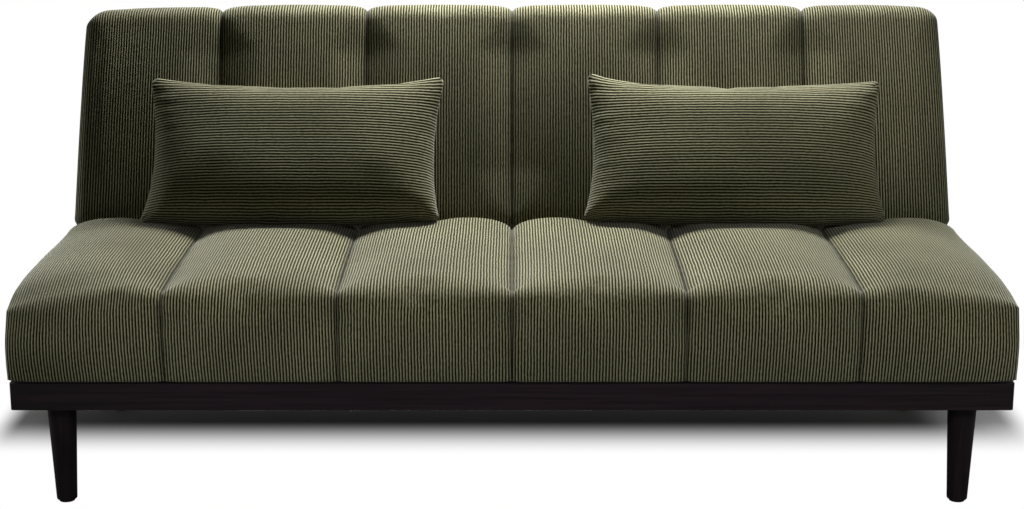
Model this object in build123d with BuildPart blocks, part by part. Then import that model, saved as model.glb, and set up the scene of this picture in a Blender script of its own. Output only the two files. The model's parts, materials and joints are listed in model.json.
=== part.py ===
import os
from math import cos, radians, sin

from build123d import *

os.makedirs("parts", exist_ok=True)

# Upholstery sizes, in millimetres
seat_half_width = 955
end_channel_trim = 29
seat_top = 447
seat_bulge = 16
seat_hem_setback = 4
seat_full_height = 98
seat_front_round = 58
seat_rear_round = 44
seat_end_round = 34
back_inset = 11
back_taper = 16
back_channel_trim = 20
back_length = 496
back_thickness = 140
back_edge_round = 32
back_corner_round = 38
channel_round = 18
padding = 30
back_panel_thickness = 3
pillow_width = 640
pillow_height = 300
pillow_thickness = 120
pillow_wall = 4
pillow_inset = 481

# Base sizes
rail_setback = 5
rail_height = 52
rail_thickness = 35
rail_round = 8
base_depth = 660
cross_rail_width = 40
cross_rail_height = 42
cross_rail_gap = 13
leg_height = 200
leg_top_radius = 28
leg_foot_radius = 19.5
leg_foot_round = 2
leg_inset_x = 86
leg_inset_y = 52
leg_block_width = 130
leg_block_depth = 60
glide_radius = 15
glide_thickness = 4
glide_stem_radius = 2
glide_stem_length = 12
dust_thickness = 1
dust_margin = 14

# Inner frame sizes
frame_thickness = 30
seat_frame_height = 40
centre_bar_height = 28
back_stile_width = 40
back_rail_width = 35
back_frame_margin = 4
webbing_thickness = 2
webbing_width = 50
webbing_end_gap = 102
webbing_overlap = 30
spring_count = 9
spring_end_gap = 137
spring_bar_half = 25
spring_turns = 10
spring_turn_radius = 18
spring_wire_radius = 1.9
clip_length = 18
clip_width = 10
clip_base = 0.8

# Hinge sizes
recline_rest = 21
recline_stops = (0, 34.5, 69)
hinge_inset = 73
hinge_drop = 39
hinge_reach = 0
seat_gap = 33
hinge_pocket_radius = 24
plate_thickness = 6
plate_stem_front = 29
plate_stem_rear = 3
plate_foot_length = 110
plate_foot_margin = 4
eye_radius = 18
pin_radius = 6
pin_head_radius = 10
pin_head_thickness = 4
washer_radius = 11
washer_thickness = 1
arm_length = 200
arm_margin = 3
arm_neck_drop = 36
pawl_angle = 180
pawl_length = 32
pawl_lift = 0.6
pawl_tooth = 4.6
pawl_tooth_half = 1.6
pawl_tooth_base_half = 2.4
pawl_bar_thickness = 6
pawl_boss_radius = 6.5
pawl_pivot_rise = 3
pawl_tail_length = 16
pawl_tail_thickness = 6
pawl_pin_radius = 3
pawl_pin_head_radius = 5
pawl_pin_head_thickness = 2
notch_half_width = 3.2
notch_depth = 4.5
leaf_thickness = 1
leaf_width = 5
leaf_length = 26
leaf_tip_back = 8
leaf_post_radius = 3
leaf_post_inset = 4

# Fasteners
bolt_radius = 3
bolt_head_radius = 5.5
bolt_head_thickness = 4
bolt_grip = 22
leg_bolt_radius = 4
leg_bolt_half = 40
dowel_radius = 4
dowel_half = 18
screw_radius = 2.5
screw_head_radius = 5
screw_head_thickness = 3
screw_bite = 22
screw_spread = 30
seat_bolt_bite = 25
plate_bolt_spots = (-95, -45, 5)
arm_bolt_spots = (90, 135, 180)

# Clearances
fit = 0.05
wire_play = 0.15
soft_gap = 0.3
rest_gap = 0.5

# Levels and positions that follow from the sizes above
lean = radians(recline_rest)
channel_pitch = (seat_half_width + end_channel_trim) / 3
end_channel_x = 2 * channel_pitch
back_half_width = seat_half_width - back_inset
back_channel_pitch = (back_half_width - back_taper + back_channel_trim) / 3
back_end_x = 2 * back_channel_pitch
pillow_offset = seat_half_width - pillow_inset
rail_length = 2 * (seat_half_width - rail_setback)
rail_bottom = leg_height
rail_top = rail_bottom + rail_height
rail_middle = rail_bottom + rail_height / 2
rail_half = rail_length / 2
rail_inner = rail_half - rail_thickness
hinge_z = seat_top - hinge_drop
back_tip = hinge_reach + back_length
back_rear = hinge_drop - back_thickness
rear_reach = back_tip * sin(lean) - back_rear * cos(lean)
hinge_setback = base_depth - hinge_inset
overall_depth = seat_bulge + hinge_setback + rear_reach
rail_front_y = seat_bulge - overall_depth / 2
rail_back_y = rail_front_y + base_depth
base_front_y = rail_front_y + rail_thickness
base_rear_y = rail_back_y - rail_thickness
hinge_y = rail_front_y + hinge_setback
seat_rear_y = hinge_y - seat_gap
leg_x = rail_half - leg_inset_x
front_leg_y = rail_front_y + leg_inset_y
rear_leg_y = rail_back_y - leg_inset_y

# Depths of the hinge pieces across the width, on the right-hand side
plate_outer = rail_inner
plate_inner = plate_outer - plate_thickness
arm_outer = plate_inner - washer_thickness
arm_inner = arm_outer - plate_thickness
stile_inner = arm_inner - frame_thickness
back_cavity_half = plate_outer - washer_thickness
rear_block_outer = plate_inner - bolt_head_thickness - 2 * washer_thickness
outer_cross_x = rear_block_outer - leg_block_width - cross_rail_gap - cross_rail_width / 2

# Inner frame positions
frame_rear = back_rear + back_panel_thickness
frame_front = frame_rear + frame_thickness
frame_middle = frame_rear + frame_thickness / 2
webbing_front = frame_front + webbing_thickness
back_core_start = hinge_reach + padding
back_core_end = back_tip - padding
stile_start = back_core_start + back_frame_margin
stile_end = back_core_end - back_frame_margin
seat_frame_half = seat_half_width - padding - 2 * back_frame_margin
seat_frame_front_y = rail_front_y + seat_hem_setback + padding + back_frame_margin
seat_frame_rear_y = seat_rear_y - padding - back_frame_margin
seat_frame_top = rail_top + seat_frame_height
spring_z = seat_frame_top + clip_base + spring_wire_radius
spring_pitch = 2 * (seat_frame_half - spring_end_gap) / (spring_count - 1)
foam_bottom = spring_z + spring_wire_radius + soft_gap
cross_spots = (channel_pitch, outer_cross_x)
front_bolt_y = base_front_y + frame_thickness
rear_bolt_y = seat_frame_rear_y - frame_thickness / 2
right_bolt_spots = [(x, y) for x in cross_spots for y in (front_bolt_y, rear_bolt_y)]
seat_bolt_spots = right_bolt_spots + [(-x, y) for x, y in right_bolt_spots]
dust_notch_width = leg_block_width + dust_margin
dust_notch_depth = leg_block_depth + dust_margin
pillow_n = hinge_drop + pillow_thickness / 2 + rest_gap
pillow_drop = seat_top + rest_gap - hinge_z - pillow_n * sin(lean)
pillow_u = pillow_drop / cos(lean) + pillow_height / 2

# Planes of the hinge, the backrest and the pawl; the last direction of each is its normal
hinge_origin = (0, hinge_y, hinge_z)
hinge_side = Plane(origin=hinge_origin, x_dir=(0, 1, 0), z_dir=(1, 0, 0))
back_side = Plane(origin=hinge_origin, x_dir=(0, sin(lean), cos(lean)), z_dir=(1, 0, 0))
back_face = Plane(origin=hinge_origin, x_dir=(1, 0, 0), z_dir=(0, -cos(lean), sin(lean)))
pawl_turn = radians(pawl_angle)
pawl_side = Plane(origin=hinge_origin, x_dir=(0, sin(pawl_turn), -cos(pawl_turn)), z_dir=(1, 0, 0))


def seat_profile(inset, floor):
    front = rail_front_y - seat_bulge + inset
    hem = rail_front_y + seat_hem_setback + inset
    rear = seat_rear_y - inset
    top = seat_top - inset
    front_round = seat_front_round - inset
    rear_round = seat_rear_round - inset
    full = rail_top + seat_full_height
    with BuildSketch(Plane.YZ) as profile:
        with BuildLine():
            TangentArc((front, full), (hem, floor), tangent=(0, -1))
            Line((front, full), (front, top - front_round))
            TangentArc((front, top - front_round), (front + front_round, top), tangent=(0, 1))
            Line((front + front_round, top), (rear - rear_round, top))
            TangentArc((rear - rear_round, top), (rear, top - rear_round), tangent=(1, 0))
            Line((rear, top - rear_round), (rear, floor))
            Line((rear, floor), (hem, floor))
        make_face()
    return profile.sketch


def back_profile():
    with BuildSketch(back_side) as profile:
        with Locations((hinge_reach + back_length / 2, hinge_drop - back_thickness / 2)):
            Rectangle(back_length, back_thickness)
        fillet(profile.vertices().group_by(Axis.Y)[-1], back_edge_round)
    return profile.sketch


def lens(length, thickness):
    with BuildSketch(Plane.XY) as shape:
        with BuildLine():
            ThreePointArc((-length / 2, 0), (0, thickness / 2), (length / 2, 0))
            ThreePointArc((length / 2, 0), (0, -thickness / 2), (-length / 2, 0))
        make_face()
    return shape.sketch


# Rails of the base
right_dowels = (*cross_spots, rail_inner + rail_thickness / 2)
dowel_ends = (*right_dowels, *[-x for x in right_dowels])
right_screws = (leg_x - screw_spread, leg_x + screw_spread)
block_screw_spots = [(x, rail_middle) for x in (*right_screws, *[-x for x in right_screws])]

with BuildPart() as front_rail:
    with BuildSketch(Plane.XY.offset(rail_bottom)):
        with Locations((0, rail_front_y + rail_thickness / 2)):
            Rectangle(rail_length, rail_thickness)
    extrude(amount=rail_height)
    fillet(front_rail.edges().filter_by(Axis.Z).group_by(Axis.Y)[0], rail_round)
    with BuildSketch(Plane.XZ.offset(-base_front_y)):
        with Locations(*[(x, rail_middle) for x in dowel_ends]):
            Circle(dowel_radius + fit)
    extrude(amount=dowel_half, mode=Mode.SUBTRACT)
    with BuildSketch(Plane.XZ.offset(-base_front_y)):
        with Locations(*block_screw_spots):
            Circle(screw_radius + fit)
    extrude(amount=screw_bite, mode=Mode.SUBTRACT)

with BuildPart() as rear_rail:
    with BuildSketch(Plane.XY.offset(rail_bottom)):
        with Locations((0, rail_back_y - rail_thickness / 2)):
            Rectangle(rail_length, rail_thickness)
    extrude(amount=rail_height)
    fillet(rear_rail.edges().filter_by(Axis.Z).group_by(Axis.Y)[-1], rail_round)
    with BuildSketch(Plane.XZ.offset(-base_rear_y)):
        with Locations(*[(x, rail_middle) for x in dowel_ends]):
            Circle(dowel_radius + fit)
    extrude(amount=-dowel_half, mode=Mode.SUBTRACT)
    with BuildSketch(Plane.XZ.offset(-base_rear_y)):
        with Locations(*block_screw_spots):
            Circle(screw_radius + fit)
    extrude(amount=-screw_bite, mode=Mode.SUBTRACT)

with BuildPart() as right_rail:
    with BuildSketch(Plane.XY.offset(rail_bottom)):
        with Locations((rail_half - rail_thickness / 2, (base_front_y + base_rear_y) / 2)):
            Rectangle(rail_thickness, base_rear_y - base_front_y)
    extrude(amount=rail_height)
    with BuildSketch(Plane.XZ.offset(-base_front_y)):
        with Locations((rail_half - rail_thickness / 2, rail_middle)):
            Circle(dowel_radius + fit)
    extrude(amount=-dowel_half, mode=Mode.SUBTRACT)
    with BuildSketch(Plane.XZ.offset(-base_rear_y)):
        with Locations((rail_half - rail_thickness / 2, rail_middle)):
            Circle(dowel_radius + fit)
    extrude(amount=dowel_half, mode=Mode.SUBTRACT)
    with BuildSketch(hinge_side.offset(rail_inner)):
        with Locations(*[(spot, rail_middle - hinge_z) for spot in plate_bolt_spots]):
            Circle(bolt_radius + fit)
    extrude(amount=bolt_grip, mode=Mode.SUBTRACT)

with BuildPart() as left_rail:
    mirror(right_rail.part, about=Plane.YZ)

with BuildPart() as cross_rails_right:
    with BuildSketch(Plane.XY.offset(rail_top - cross_rail_height)):
        with Locations(*[(x, (base_front_y + base_rear_y) / 2) for x in cross_spots]):
            Rectangle(cross_rail_width, base_rear_y - base_front_y)
    extrude(amount=cross_rail_height)
    with BuildSketch(Plane.XZ.offset(-base_front_y)):
        with Locations(*[(x, rail_middle) for x in cross_spots]):
            Circle(dowel_radius + fit)
    extrude(amount=-dowel_half, mode=Mode.SUBTRACT)
    with BuildSketch(Plane.XZ.offset(-base_rear_y)):
        with Locations(*[(x, rail_middle) for x in cross_spots]):
            Circle(dowel_radius + fit)
    extrude(amount=dowel_half, mode=Mode.SUBTRACT)
    with BuildSketch(Plane.XY.offset(rail_top - cross_rail_height)):
        with Locations(*right_bolt_spots):
            Circle(bolt_radius + fit)
    extrude(amount=cross_rail_height, mode=Mode.SUBTRACT)

with BuildPart() as cross_rails_left:
    mirror(cross_rails_right.part, about=Plane.YZ)

with BuildPart() as rail_dowels:
    with BuildSketch(Plane.XZ.offset(-base_front_y)):
        with Locations(*[(x, rail_middle) for x in dowel_ends]):
            Circle(dowel_radius)
    extrude(amount=dowel_half, both=True)
    with BuildSketch(Plane.XZ.offset(-base_rear_y)):
        with Locations(*[(x, rail_middle) for x in dowel_ends]):
            Circle(dowel_radius)
    extrude(amount=dowel_half, both=True)

# Blocks that take the legs
with BuildPart() as leg_block_front_right:
    with BuildSketch(Plane.XY.offset(rail_bottom)):
        with Locations((rail_inner - leg_block_width / 2, base_front_y + leg_block_depth / 2)):
            Rectangle(leg_block_width, leg_block_depth)
    extrude(amount=rail_height)
    with BuildSketch(Plane.XY.offset(rail_bottom)):
        with Locations((leg_x, front_leg_y)):
            Circle(leg_bolt_radius + fit)
    extrude(amount=rail_height, mode=Mode.SUBTRACT)
    with BuildSketch(Plane.XZ.offset(-base_front_y)):
        with Locations(*[(x, rail_middle) for x in right_screws]):
            Circle(screw_radius + fit)
    extrude(amount=-leg_block_depth, mode=Mode.SUBTRACT)

with BuildPart() as leg_block_rear_right:
    with BuildSketch(Plane.XY.offset(rail_bottom)):
        with Locations((rear_block_outer - leg_block_width / 2, base_rear_y - leg_block_depth / 2)):
            Rectangle(leg_block_width, leg_block_depth)
    extrude(amount=rail_height)
    with BuildSketch(Plane.XY.offset(rail_bottom)):
        with Locations((leg_x, rear_leg_y)):
            Circle(leg_bolt_radius + fit)
    extrude(amount=rail_height, mode=Mode.SUBTRACT)
    with BuildSketch(Plane.XZ.offset(-base_rear_y)):
        with Locations(*[(x, rail_middle) for x in right_screws]):
            Circle(screw_radius + fit)
    extrude(amount=leg_block_depth, mode=Mode.SUBTRACT)

with BuildPart() as leg_blocks:
    add(leg_block_front_right.part)
    add(leg_block_rear_right.part)
    mirror(leg_block_front_right.part, about=Plane.YZ)
    mirror(leg_block_rear_right.part, about=Plane.YZ)

with BuildPart() as block_screws:
    with BuildSketch(Plane.XZ.offset(-base_front_y - leg_block_depth)):
        with Locations(*block_screw_spots):
            Circle(screw_radius)
    extrude(amount=leg_block_depth + screw_bite)
    with BuildSketch(Plane.XZ.offset(-base_front_y - leg_block_depth)):
        with Locations(*block_screw_spots):
            Circle(screw_head_radius)
    extrude(amount=-screw_head_thickness)
    with BuildSketch(Plane.XZ.offset(-base_rear_y + leg_block_depth)):
        with Locations(*block_screw_spots):
            Circle(screw_radius)
    extrude(amount=-leg_block_depth - screw_bite)
    with BuildSketch(Plane.XZ.offset(-base_rear_y + leg_block_depth)):
        with Locations(*block_screw_spots):
            Circle(screw_head_radius)
    extrude(amount=screw_head_thickness)

# Legs with their bolts and glides
with BuildPart() as leg_front_right:
    with BuildSketch(Plane.XY.offset(glide_thickness)):
        with Locations((leg_x, front_leg_y)):
            Circle(leg_foot_radius)
    with BuildSketch(Plane.XY.offset(leg_height)):
        with Locations((leg_x, front_leg_y)):
            Circle(leg_top_radius)
    loft()
    fillet(leg_front_right.edges().group_by(Axis.Z)[0], leg_foot_round)
    with BuildSketch(Plane.XY.offset(leg_height)):
        with Locations((leg_x, front_leg_y)):
            Circle(leg_bolt_radius + fit)
    extrude(amount=-leg_bolt_half, mode=Mode.SUBTRACT)
    with BuildSketch(Plane.XY.offset(glide_thickness)):
        with Locations((leg_x, front_leg_y)):
            Circle(glide_stem_radius + fit)
    extrude(amount=glide_stem_length, mode=Mode.SUBTRACT)

with BuildPart() as leg_front_left:
    mirror(leg_front_right.part, about=Plane.YZ)

with BuildPart() as leg_rear_right:
    with Locations((0, rear_leg_y - front_leg_y, 0)):
        add(leg_front_right.part)

with BuildPart() as leg_rear_left:
    with Locations((0, rear_leg_y - front_leg_y, 0)):
        add(leg_front_left.part)

leg_spots = [(side * leg_x, y) for side in (-1, 1) for y in (front_leg_y, rear_leg_y)]

with BuildPart() as leg_bolts:
    with BuildSketch(Plane.XY.offset(leg_height)):
        with Locations(*leg_spots):
            Circle(leg_bolt_radius)
    extrude(amount=leg_bolt_half, both=True)

with BuildPart() as leg_glides:
    with BuildSketch(Plane.XY):
        with Locations(*leg_spots):
            Circle(glide_radius)
    extrude(amount=glide_thickness)
    with BuildSketch(Plane.XY.offset(glide_thickness)):
        with Locations(*leg_spots):
            Circle(glide_stem_radius)
    extrude(amount=glide_stem_length)

# Dust cloth under the seat, open around the leg blocks and the seat bolts
with BuildPart() as dust_cloth:
    with BuildSketch(Plane.XY.offset(rail_top - cross_rail_height - dust_thickness)):
        with Locations((0, (base_front_y + base_rear_y) / 2)):
            Rectangle(2 * rail_inner - 2 * dust_margin, base_rear_y - base_front_y - soft_gap)
        for side in (-1, 1):
            with Locations((side * rail_inner, base_front_y), (side * rail_inner, base_rear_y)):
                Rectangle(2 * dust_notch_width, 2 * dust_notch_depth, mode=Mode.SUBTRACT)
        with Locations(*seat_bolt_spots):
            Circle(bolt_head_radius + dust_thickness, mode=Mode.SUBTRACT)
    extrude(amount=dust_thickness)

# Seat frame, springs and clips
with BuildPart() as seat_frame_front:
    with BuildSketch(Plane.XY.offset(rail_top)):
        with Locations((0, (seat_frame_front_y + front_bolt_y + frame_thickness / 2) / 2)):
            Rectangle(2 * seat_frame_half, front_bolt_y + frame_thickness / 2 - seat_frame_front_y)
    extrude(amount=seat_frame_height)
    with BuildSketch(Plane.XY.offset(rail_top)):
        with Locations(*[(x, y) for x, y in seat_bolt_spots if y == front_bolt_y]):
            Circle(bolt_radius + fit)
    extrude(amount=seat_bolt_bite, mode=Mode.SUBTRACT)

seat_side_start = front_bolt_y + frame_thickness / 2
seat_side_end = seat_frame_rear_y - frame_thickness

with BuildPart() as seat_frame_rear:
    with BuildSketch(Plane.XY.offset(rail_top)):
        with Locations((0, seat_frame_rear_y - frame_thickness / 2)):
            Rectangle(2 * seat_frame_half, frame_thickness)
    extrude(amount=seat_frame_height)
    with BuildSketch(Plane.XY.offset(rail_top)):
        with Locations(*[(x, y) for x, y in seat_bolt_spots if y == rear_bolt_y]):
            Circle(bolt_radius + fit)
    extrude(amount=seat_bolt_bite, mode=Mode.SUBTRACT)

with BuildPart() as seat_frame_right:
    with BuildSketch(Plane.XY.offset(rail_top)):
        with Locations((seat_frame_half - frame_thickness / 2, (seat_side_start + seat_side_end) / 2)):
            Rectangle(frame_thickness, seat_side_end - seat_side_start)
    extrude(amount=seat_frame_height)

with BuildPart() as seat_frame_left:
    mirror(seat_frame_right.part, about=Plane.YZ)

with BuildPart() as seat_frame_centre:
    with BuildSketch(Plane.XY.offset(rail_top)):
        with Locations((0, (seat_side_start + seat_side_end) / 2)):
            Rectangle(frame_thickness, seat_side_end - seat_side_start)
    extrude(amount=centre_bar_height)

with BuildPart() as seat_bolts:
    with BuildSketch(Plane.XY.offset(rail_top - cross_rail_height)):
        with Locations(*seat_bolt_spots):
            Circle(bolt_radius)
    extrude(amount=cross_rail_height + seat_bolt_bite)
    with BuildSketch(Plane.XY.offset(rail_top - cross_rail_height)):
        with Locations(*seat_bolt_spots):
            RegularPolygon(bolt_head_radius, 6)
    extrude(amount=-bolt_head_thickness)

spring_start_y = front_bolt_y
spring_end_y = rear_bolt_y
spring_step = (spring_end_y - spring_start_y) / spring_turns
spring_spots = [(number - (spring_count - 1) / 2) * spring_pitch for number in range(spring_count)]
spring_path = []
for turn in range(spring_turns + 1):
    side = 1 if turn % 2 == 0 else -1
    spring_path.append((-side * spring_bar_half, spring_start_y + turn * spring_step, spring_z))
    spring_path.append((side * spring_bar_half, spring_start_y + turn * spring_step, spring_z))

with BuildPart() as spring:
    with BuildLine() as spring_line:
        FilletPolyline(*spring_path, radius=spring_turn_radius)
    with BuildSketch(Plane(origin=spring_path[0], x_dir=(0, 1, 0), z_dir=(1, 0, 0))):
        Circle(spring_wire_radius)
    sweep(path=spring_line.line)

with BuildPart() as seat_springs:
    with Locations(*[(x, 0, 0) for x in spring_spots]):
        add(spring.part)

with BuildPart() as spring_clips:
    for x in spring_spots:
        with BuildSketch(Plane.YZ.offset(x - clip_length / 2)):
            with Locations((spring_start_y, spring_z), (spring_end_y, spring_z)):
                Rectangle(clip_width, 2 * (spring_wire_radius + clip_base))
                Circle(spring_wire_radius + wire_play, mode=Mode.SUBTRACT)
        extrude(amount=clip_length)

# Seat foam and cover
foam_inset = padding + soft_gap

with BuildPart() as seat_foam:
    extrude(seat_profile(foam_inset, rail_top), amount=seat_half_width - foam_inset, both=True)
    with BuildSketch(Plane.XY.offset(rail_top)):
        Rectangle(2 * seat_half_width, 2 * overall_depth)
    extrude(amount=foam_bottom - rail_top + clip_base, mode=Mode.SUBTRACT)

with BuildPart() as seat_channel:
    extrude(seat_profile(0, rail_top), amount=channel_pitch / 2, both=True)
    channel_edges = seat_channel.faces().filter_by(Axis.X).edges()
    fillet(channel_edges.filter_by(lambda edge: edge.center().Z > rail_top + fit), channel_round)

with BuildPart() as seat_end_channel:
    extrude(Pos(end_channel_x, 0, 0) * seat_profile(0, rail_top), amount=seat_half_width - end_channel_x)
    end_faces = seat_end_channel.faces().filter_by(Axis.X).sort_by(Axis.X)
    inner_edges = end_faces[0].edges().filter_by(lambda edge: edge.center().Z > rail_top + fit)
    outer_edges = end_faces[-1].edges().filter_by(lambda edge: edge.center().Z > rail_top + fit)
    fillet(inner_edges, channel_round)
    fillet(outer_edges, seat_end_round)

with BuildPart() as seat_cover:
    with Locations(*[(step * channel_pitch, 0, 0) for step in (-1.5, -0.5, 0.5, 1.5)]):
        add(seat_channel.part)
    add(seat_end_channel.part)
    mirror(seat_end_channel.part, about=Plane.YZ)
    extrude(seat_profile(padding, rail_top), amount=seat_half_width - padding, both=True, mode=Mode.SUBTRACT)

# Hinge pieces on the right, then mirrored
pawl_pivot = (-pawl_length, eye_radius + pawl_pivot_rise)
pawl_tip = eye_radius + pawl_lift
pawl_bar = pawl_tip + pawl_tooth
pawl_back = pawl_bar + pawl_bar_thickness
pawl_tail_inner = pawl_pivot[1] - pawl_tail_thickness / 2
leaf_face = pawl_tail_inner - soft_gap
leaf_start = -pawl_length - leaf_tip_back
leaf_end = leaf_start - leaf_length
leaf_post = (leaf_end + leaf_post_inset, leaf_face - leaf_thickness - leaf_post_radius - fit)

with BuildPart() as hinge_plate_right:
    with BuildSketch(hinge_side.offset(plate_inner)):
        Circle(eye_radius)
        with BuildLine():
            Polyline(
                (0, eye_radius),
                (0, 0),
                (-plate_stem_rear, -eye_radius),
                (-plate_stem_rear, rail_top - plate_foot_margin - hinge_z),
                (eye_radius, rail_top - plate_foot_margin - hinge_z),
                (eye_radius, rail_bottom + plate_foot_margin - hinge_z),
                (-plate_foot_length, rail_bottom + plate_foot_margin - hinge_z),
                (-plate_foot_length, rail_top - plate_foot_margin - hinge_z),
                (-plate_stem_front, rail_top - plate_foot_margin - hinge_z),
                (-plate_stem_front, 0),
                close=True,
            )
        make_face()
        Circle(pin_radius + fit, mode=Mode.SUBTRACT)
        with Locations(*[(spot, rail_middle - hinge_z) for spot in plate_bolt_spots]):
            Circle(bolt_radius + fit, mode=Mode.SUBTRACT)
    extrude(amount=plate_thickness)
    with BuildSketch(pawl_side.offset(plate_inner)):
        with Locations(pawl_pivot, leaf_post):
            Circle(pawl_pin_radius + fit)
    extrude(amount=plate_thickness, mode=Mode.SUBTRACT)

with BuildPart() as hinge_plate_left:
    mirror(hinge_plate_right.part, about=Plane.YZ)

arm_front = hinge_drop - padding - arm_margin
arm_rear = frame_rear + arm_margin
arm_shoulder = back_core_start + 2 * arm_margin

with BuildPart() as hinge_arm_right:
    with BuildSketch(back_side.offset(arm_inner)):
        Circle(eye_radius)
        with BuildLine():
            Polyline(
                (0, eye_radius),
                (arm_shoulder, arm_front),
                (arm_length, arm_front),
                (arm_length, arm_rear),
                (arm_shoulder, arm_rear),
                (arm_shoulder, -arm_neck_drop),
                (eye_radius, -arm_neck_drop),
                (0, -eye_radius),
                close=True,
            )
        make_face()
        Circle(pin_radius + fit, mode=Mode.SUBTRACT)
        for stop in recline_stops:
            with PolarLocations(eye_radius, 1, start_angle=pawl_angle + recline_rest - 90 + stop):
                Rectangle(2 * notch_depth, 2 * notch_half_width, mode=Mode.SUBTRACT)
        with Locations(*[(spot, frame_middle) for spot in arm_bolt_spots]):
            Circle(bolt_radius + fit, mode=Mode.SUBTRACT)
    extrude(amount=plate_thickness)

with BuildPart() as hinge_arm_left:
    mirror(hinge_arm_right.part, about=Plane.YZ)

with BuildPart() as hinge_pin_right:
    with BuildSketch(hinge_side.offset(arm_inner)):
        Circle(pin_radius)
    extrude(amount=plate_outer - arm_inner)
    with BuildSketch(hinge_side.offset(arm_inner)):
        Circle(pin_head_radius)
    extrude(amount=-pin_head_thickness)
    with BuildSketch(hinge_side.offset(plate_outer)):
        Circle(pin_head_radius)
    extrude(amount=pin_head_thickness)

with BuildPart() as hinge_pin_left:
    mirror(hinge_pin_right.part, about=Plane.YZ)

with BuildPart() as hinge_washer_right:
    with BuildSketch(hinge_side.offset(arm_outer)):
        Circle(washer_radius)
        Circle(pin_radius + fit, mode=Mode.SUBTRACT)
    extrude(amount=washer_thickness)

with BuildPart() as hinge_washers:
    add(hinge_washer_right.part)
    mirror(hinge_washer_right.part, about=Plane.YZ)

with BuildPart() as pawl_right:
    with BuildSketch(pawl_side.offset(arm_inner)):
        with BuildLine():
            Polyline(
                (-pawl_length, pawl_back),
                (-pawl_length, pawl_bar),
                (-pawl_tooth_base_half, pawl_bar),
                (-pawl_tooth_half, pawl_tip),
                (pawl_tooth_half, pawl_tip),
                (pawl_tooth_base_half, pawl_bar),
                (pawl_tooth_base_half, pawl_back),
                close=True,
            )
        make_face()
        with Locations((-pawl_length - pawl_tail_length / 2, pawl_pivot[1])):
            Rectangle(pawl_tail_length, pawl_tail_thickness)
        with Locations(pawl_pivot):
            Circle(pawl_boss_radius)
            Circle(pawl_pin_radius + fit, mode=Mode.SUBTRACT)
    extrude(amount=plate_thickness)
    with BuildSketch(pawl_side.offset(arm_outer)):
        with Locations(pawl_pivot):
            Circle(pawl_boss_radius)
            Circle(pawl_pin_radius + fit, mode=Mode.SUBTRACT)
    extrude(amount=washer_thickness)

with BuildPart() as pawl_left:
    mirror(pawl_right.part, about=Plane.YZ)

with BuildPart() as pawl_pin_right:
    with BuildSketch(pawl_side.offset(arm_inner)):
        with Locations(pawl_pivot, leaf_post):
            Circle(pawl_pin_radius)
    extrude(amount=plate_outer - arm_inner)
    with BuildSketch(pawl_side.offset(arm_inner)):
        with Locations(pawl_pivot):
            Circle(pawl_pin_head_radius)
    extrude(amount=-pawl_pin_head_thickness)

with BuildPart() as pawl_pins:
    add(pawl_pin_right.part)
    mirror(pawl_pin_right.part, about=Plane.YZ)

with BuildPart() as pawl_spring_right:
    with BuildSketch(pawl_side.offset(arm_inner + washer_thickness / 2)):
        with Locations(((leaf_start + leaf_end) / 2, leaf_face - leaf_thickness / 2)):
            Rectangle(leaf_length, leaf_thickness)
    extrude(amount=leaf_width)

with BuildPart() as pawl_springs:
    add(pawl_spring_right.part)
    mirror(pawl_spring_right.part, about=Plane.YZ)

with BuildPart() as plate_bolt_row:
    with BuildSketch(hinge_side.offset(plate_inner)):
        with Locations(*[(spot, rail_middle - hinge_z) for spot in plate_bolt_spots]):
            Circle(bolt_radius)
    extrude(amount=plate_thickness + bolt_grip)
    with BuildSketch(hinge_side.offset(plate_inner)):
        with Locations(*[(spot, rail_middle - hinge_z) for spot in plate_bolt_spots]):
            RegularPolygon(bolt_head_radius, 6)
    extrude(amount=-bolt_head_thickness)

with BuildPart() as hinge_plate_bolts:
    add(plate_bolt_row.part)
    mirror(plate_bolt_row.part, about=Plane.YZ)

with BuildPart() as arm_bolt_row:
    with BuildSketch(back_side.offset(arm_outer)):
        with Locations(*[(spot, frame_middle) for spot in arm_bolt_spots]):
            Circle(bolt_radius)
    extrude(amount=-plate_thickness - bolt_grip)
    with BuildSketch(back_side.offset(arm_outer)):
        with Locations(*[(spot, frame_middle) for spot in arm_bolt_spots]):
            RegularPolygon(bolt_head_radius, 6)
    extrude(amount=bolt_head_thickness)

with BuildPart() as hinge_arm_bolts:
    add(arm_bolt_row.part)
    mirror(arm_bolt_row.part, about=Plane.YZ)

# Back frame, webbing, foam, cover and rear panel
with BuildPart() as back_frame_right:
    with BuildSketch(back_face.offset(frame_rear)):
        with Locations((stile_inner + frame_thickness / 2, (stile_start + stile_end) / 2)):
            Rectangle(frame_thickness, stile_end - stile_start)
    extrude(amount=frame_thickness)
    with BuildSketch(back_side.offset(arm_inner)):
        with Locations(*[(spot, frame_middle) for spot in arm_bolt_spots]):
            Circle(bolt_radius + fit)
    extrude(amount=-bolt_grip, mode=Mode.SUBTRACT)

with BuildPart() as back_frame_left:
    mirror(back_frame_right.part, about=Plane.YZ)

with BuildPart() as back_frame_bottom:
    with BuildSketch(back_face.offset(frame_rear)):
        with Locations((0, stile_start + back_rail_width / 2)):
            Rectangle(2 * stile_inner, back_rail_width)
    extrude(amount=frame_thickness)

with BuildPart() as back_frame_top:
    with BuildSketch(back_face.offset(frame_rear)):
        with Locations((0, stile_end - back_rail_width / 2)):
            Rectangle(2 * stile_inner, back_rail_width)
    extrude(amount=frame_thickness)

with BuildPart() as back_frame_stiles:
    with BuildSketch(back_face.offset(frame_rear)):
        with Locations(*[(x, (stile_start + stile_end) / 2) for x in (-stile_inner / 2, 0, stile_inner / 2)]):
            Rectangle(back_stile_width, stile_end - stile_start - 2 * back_rail_width)
    extrude(amount=frame_thickness)

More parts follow.
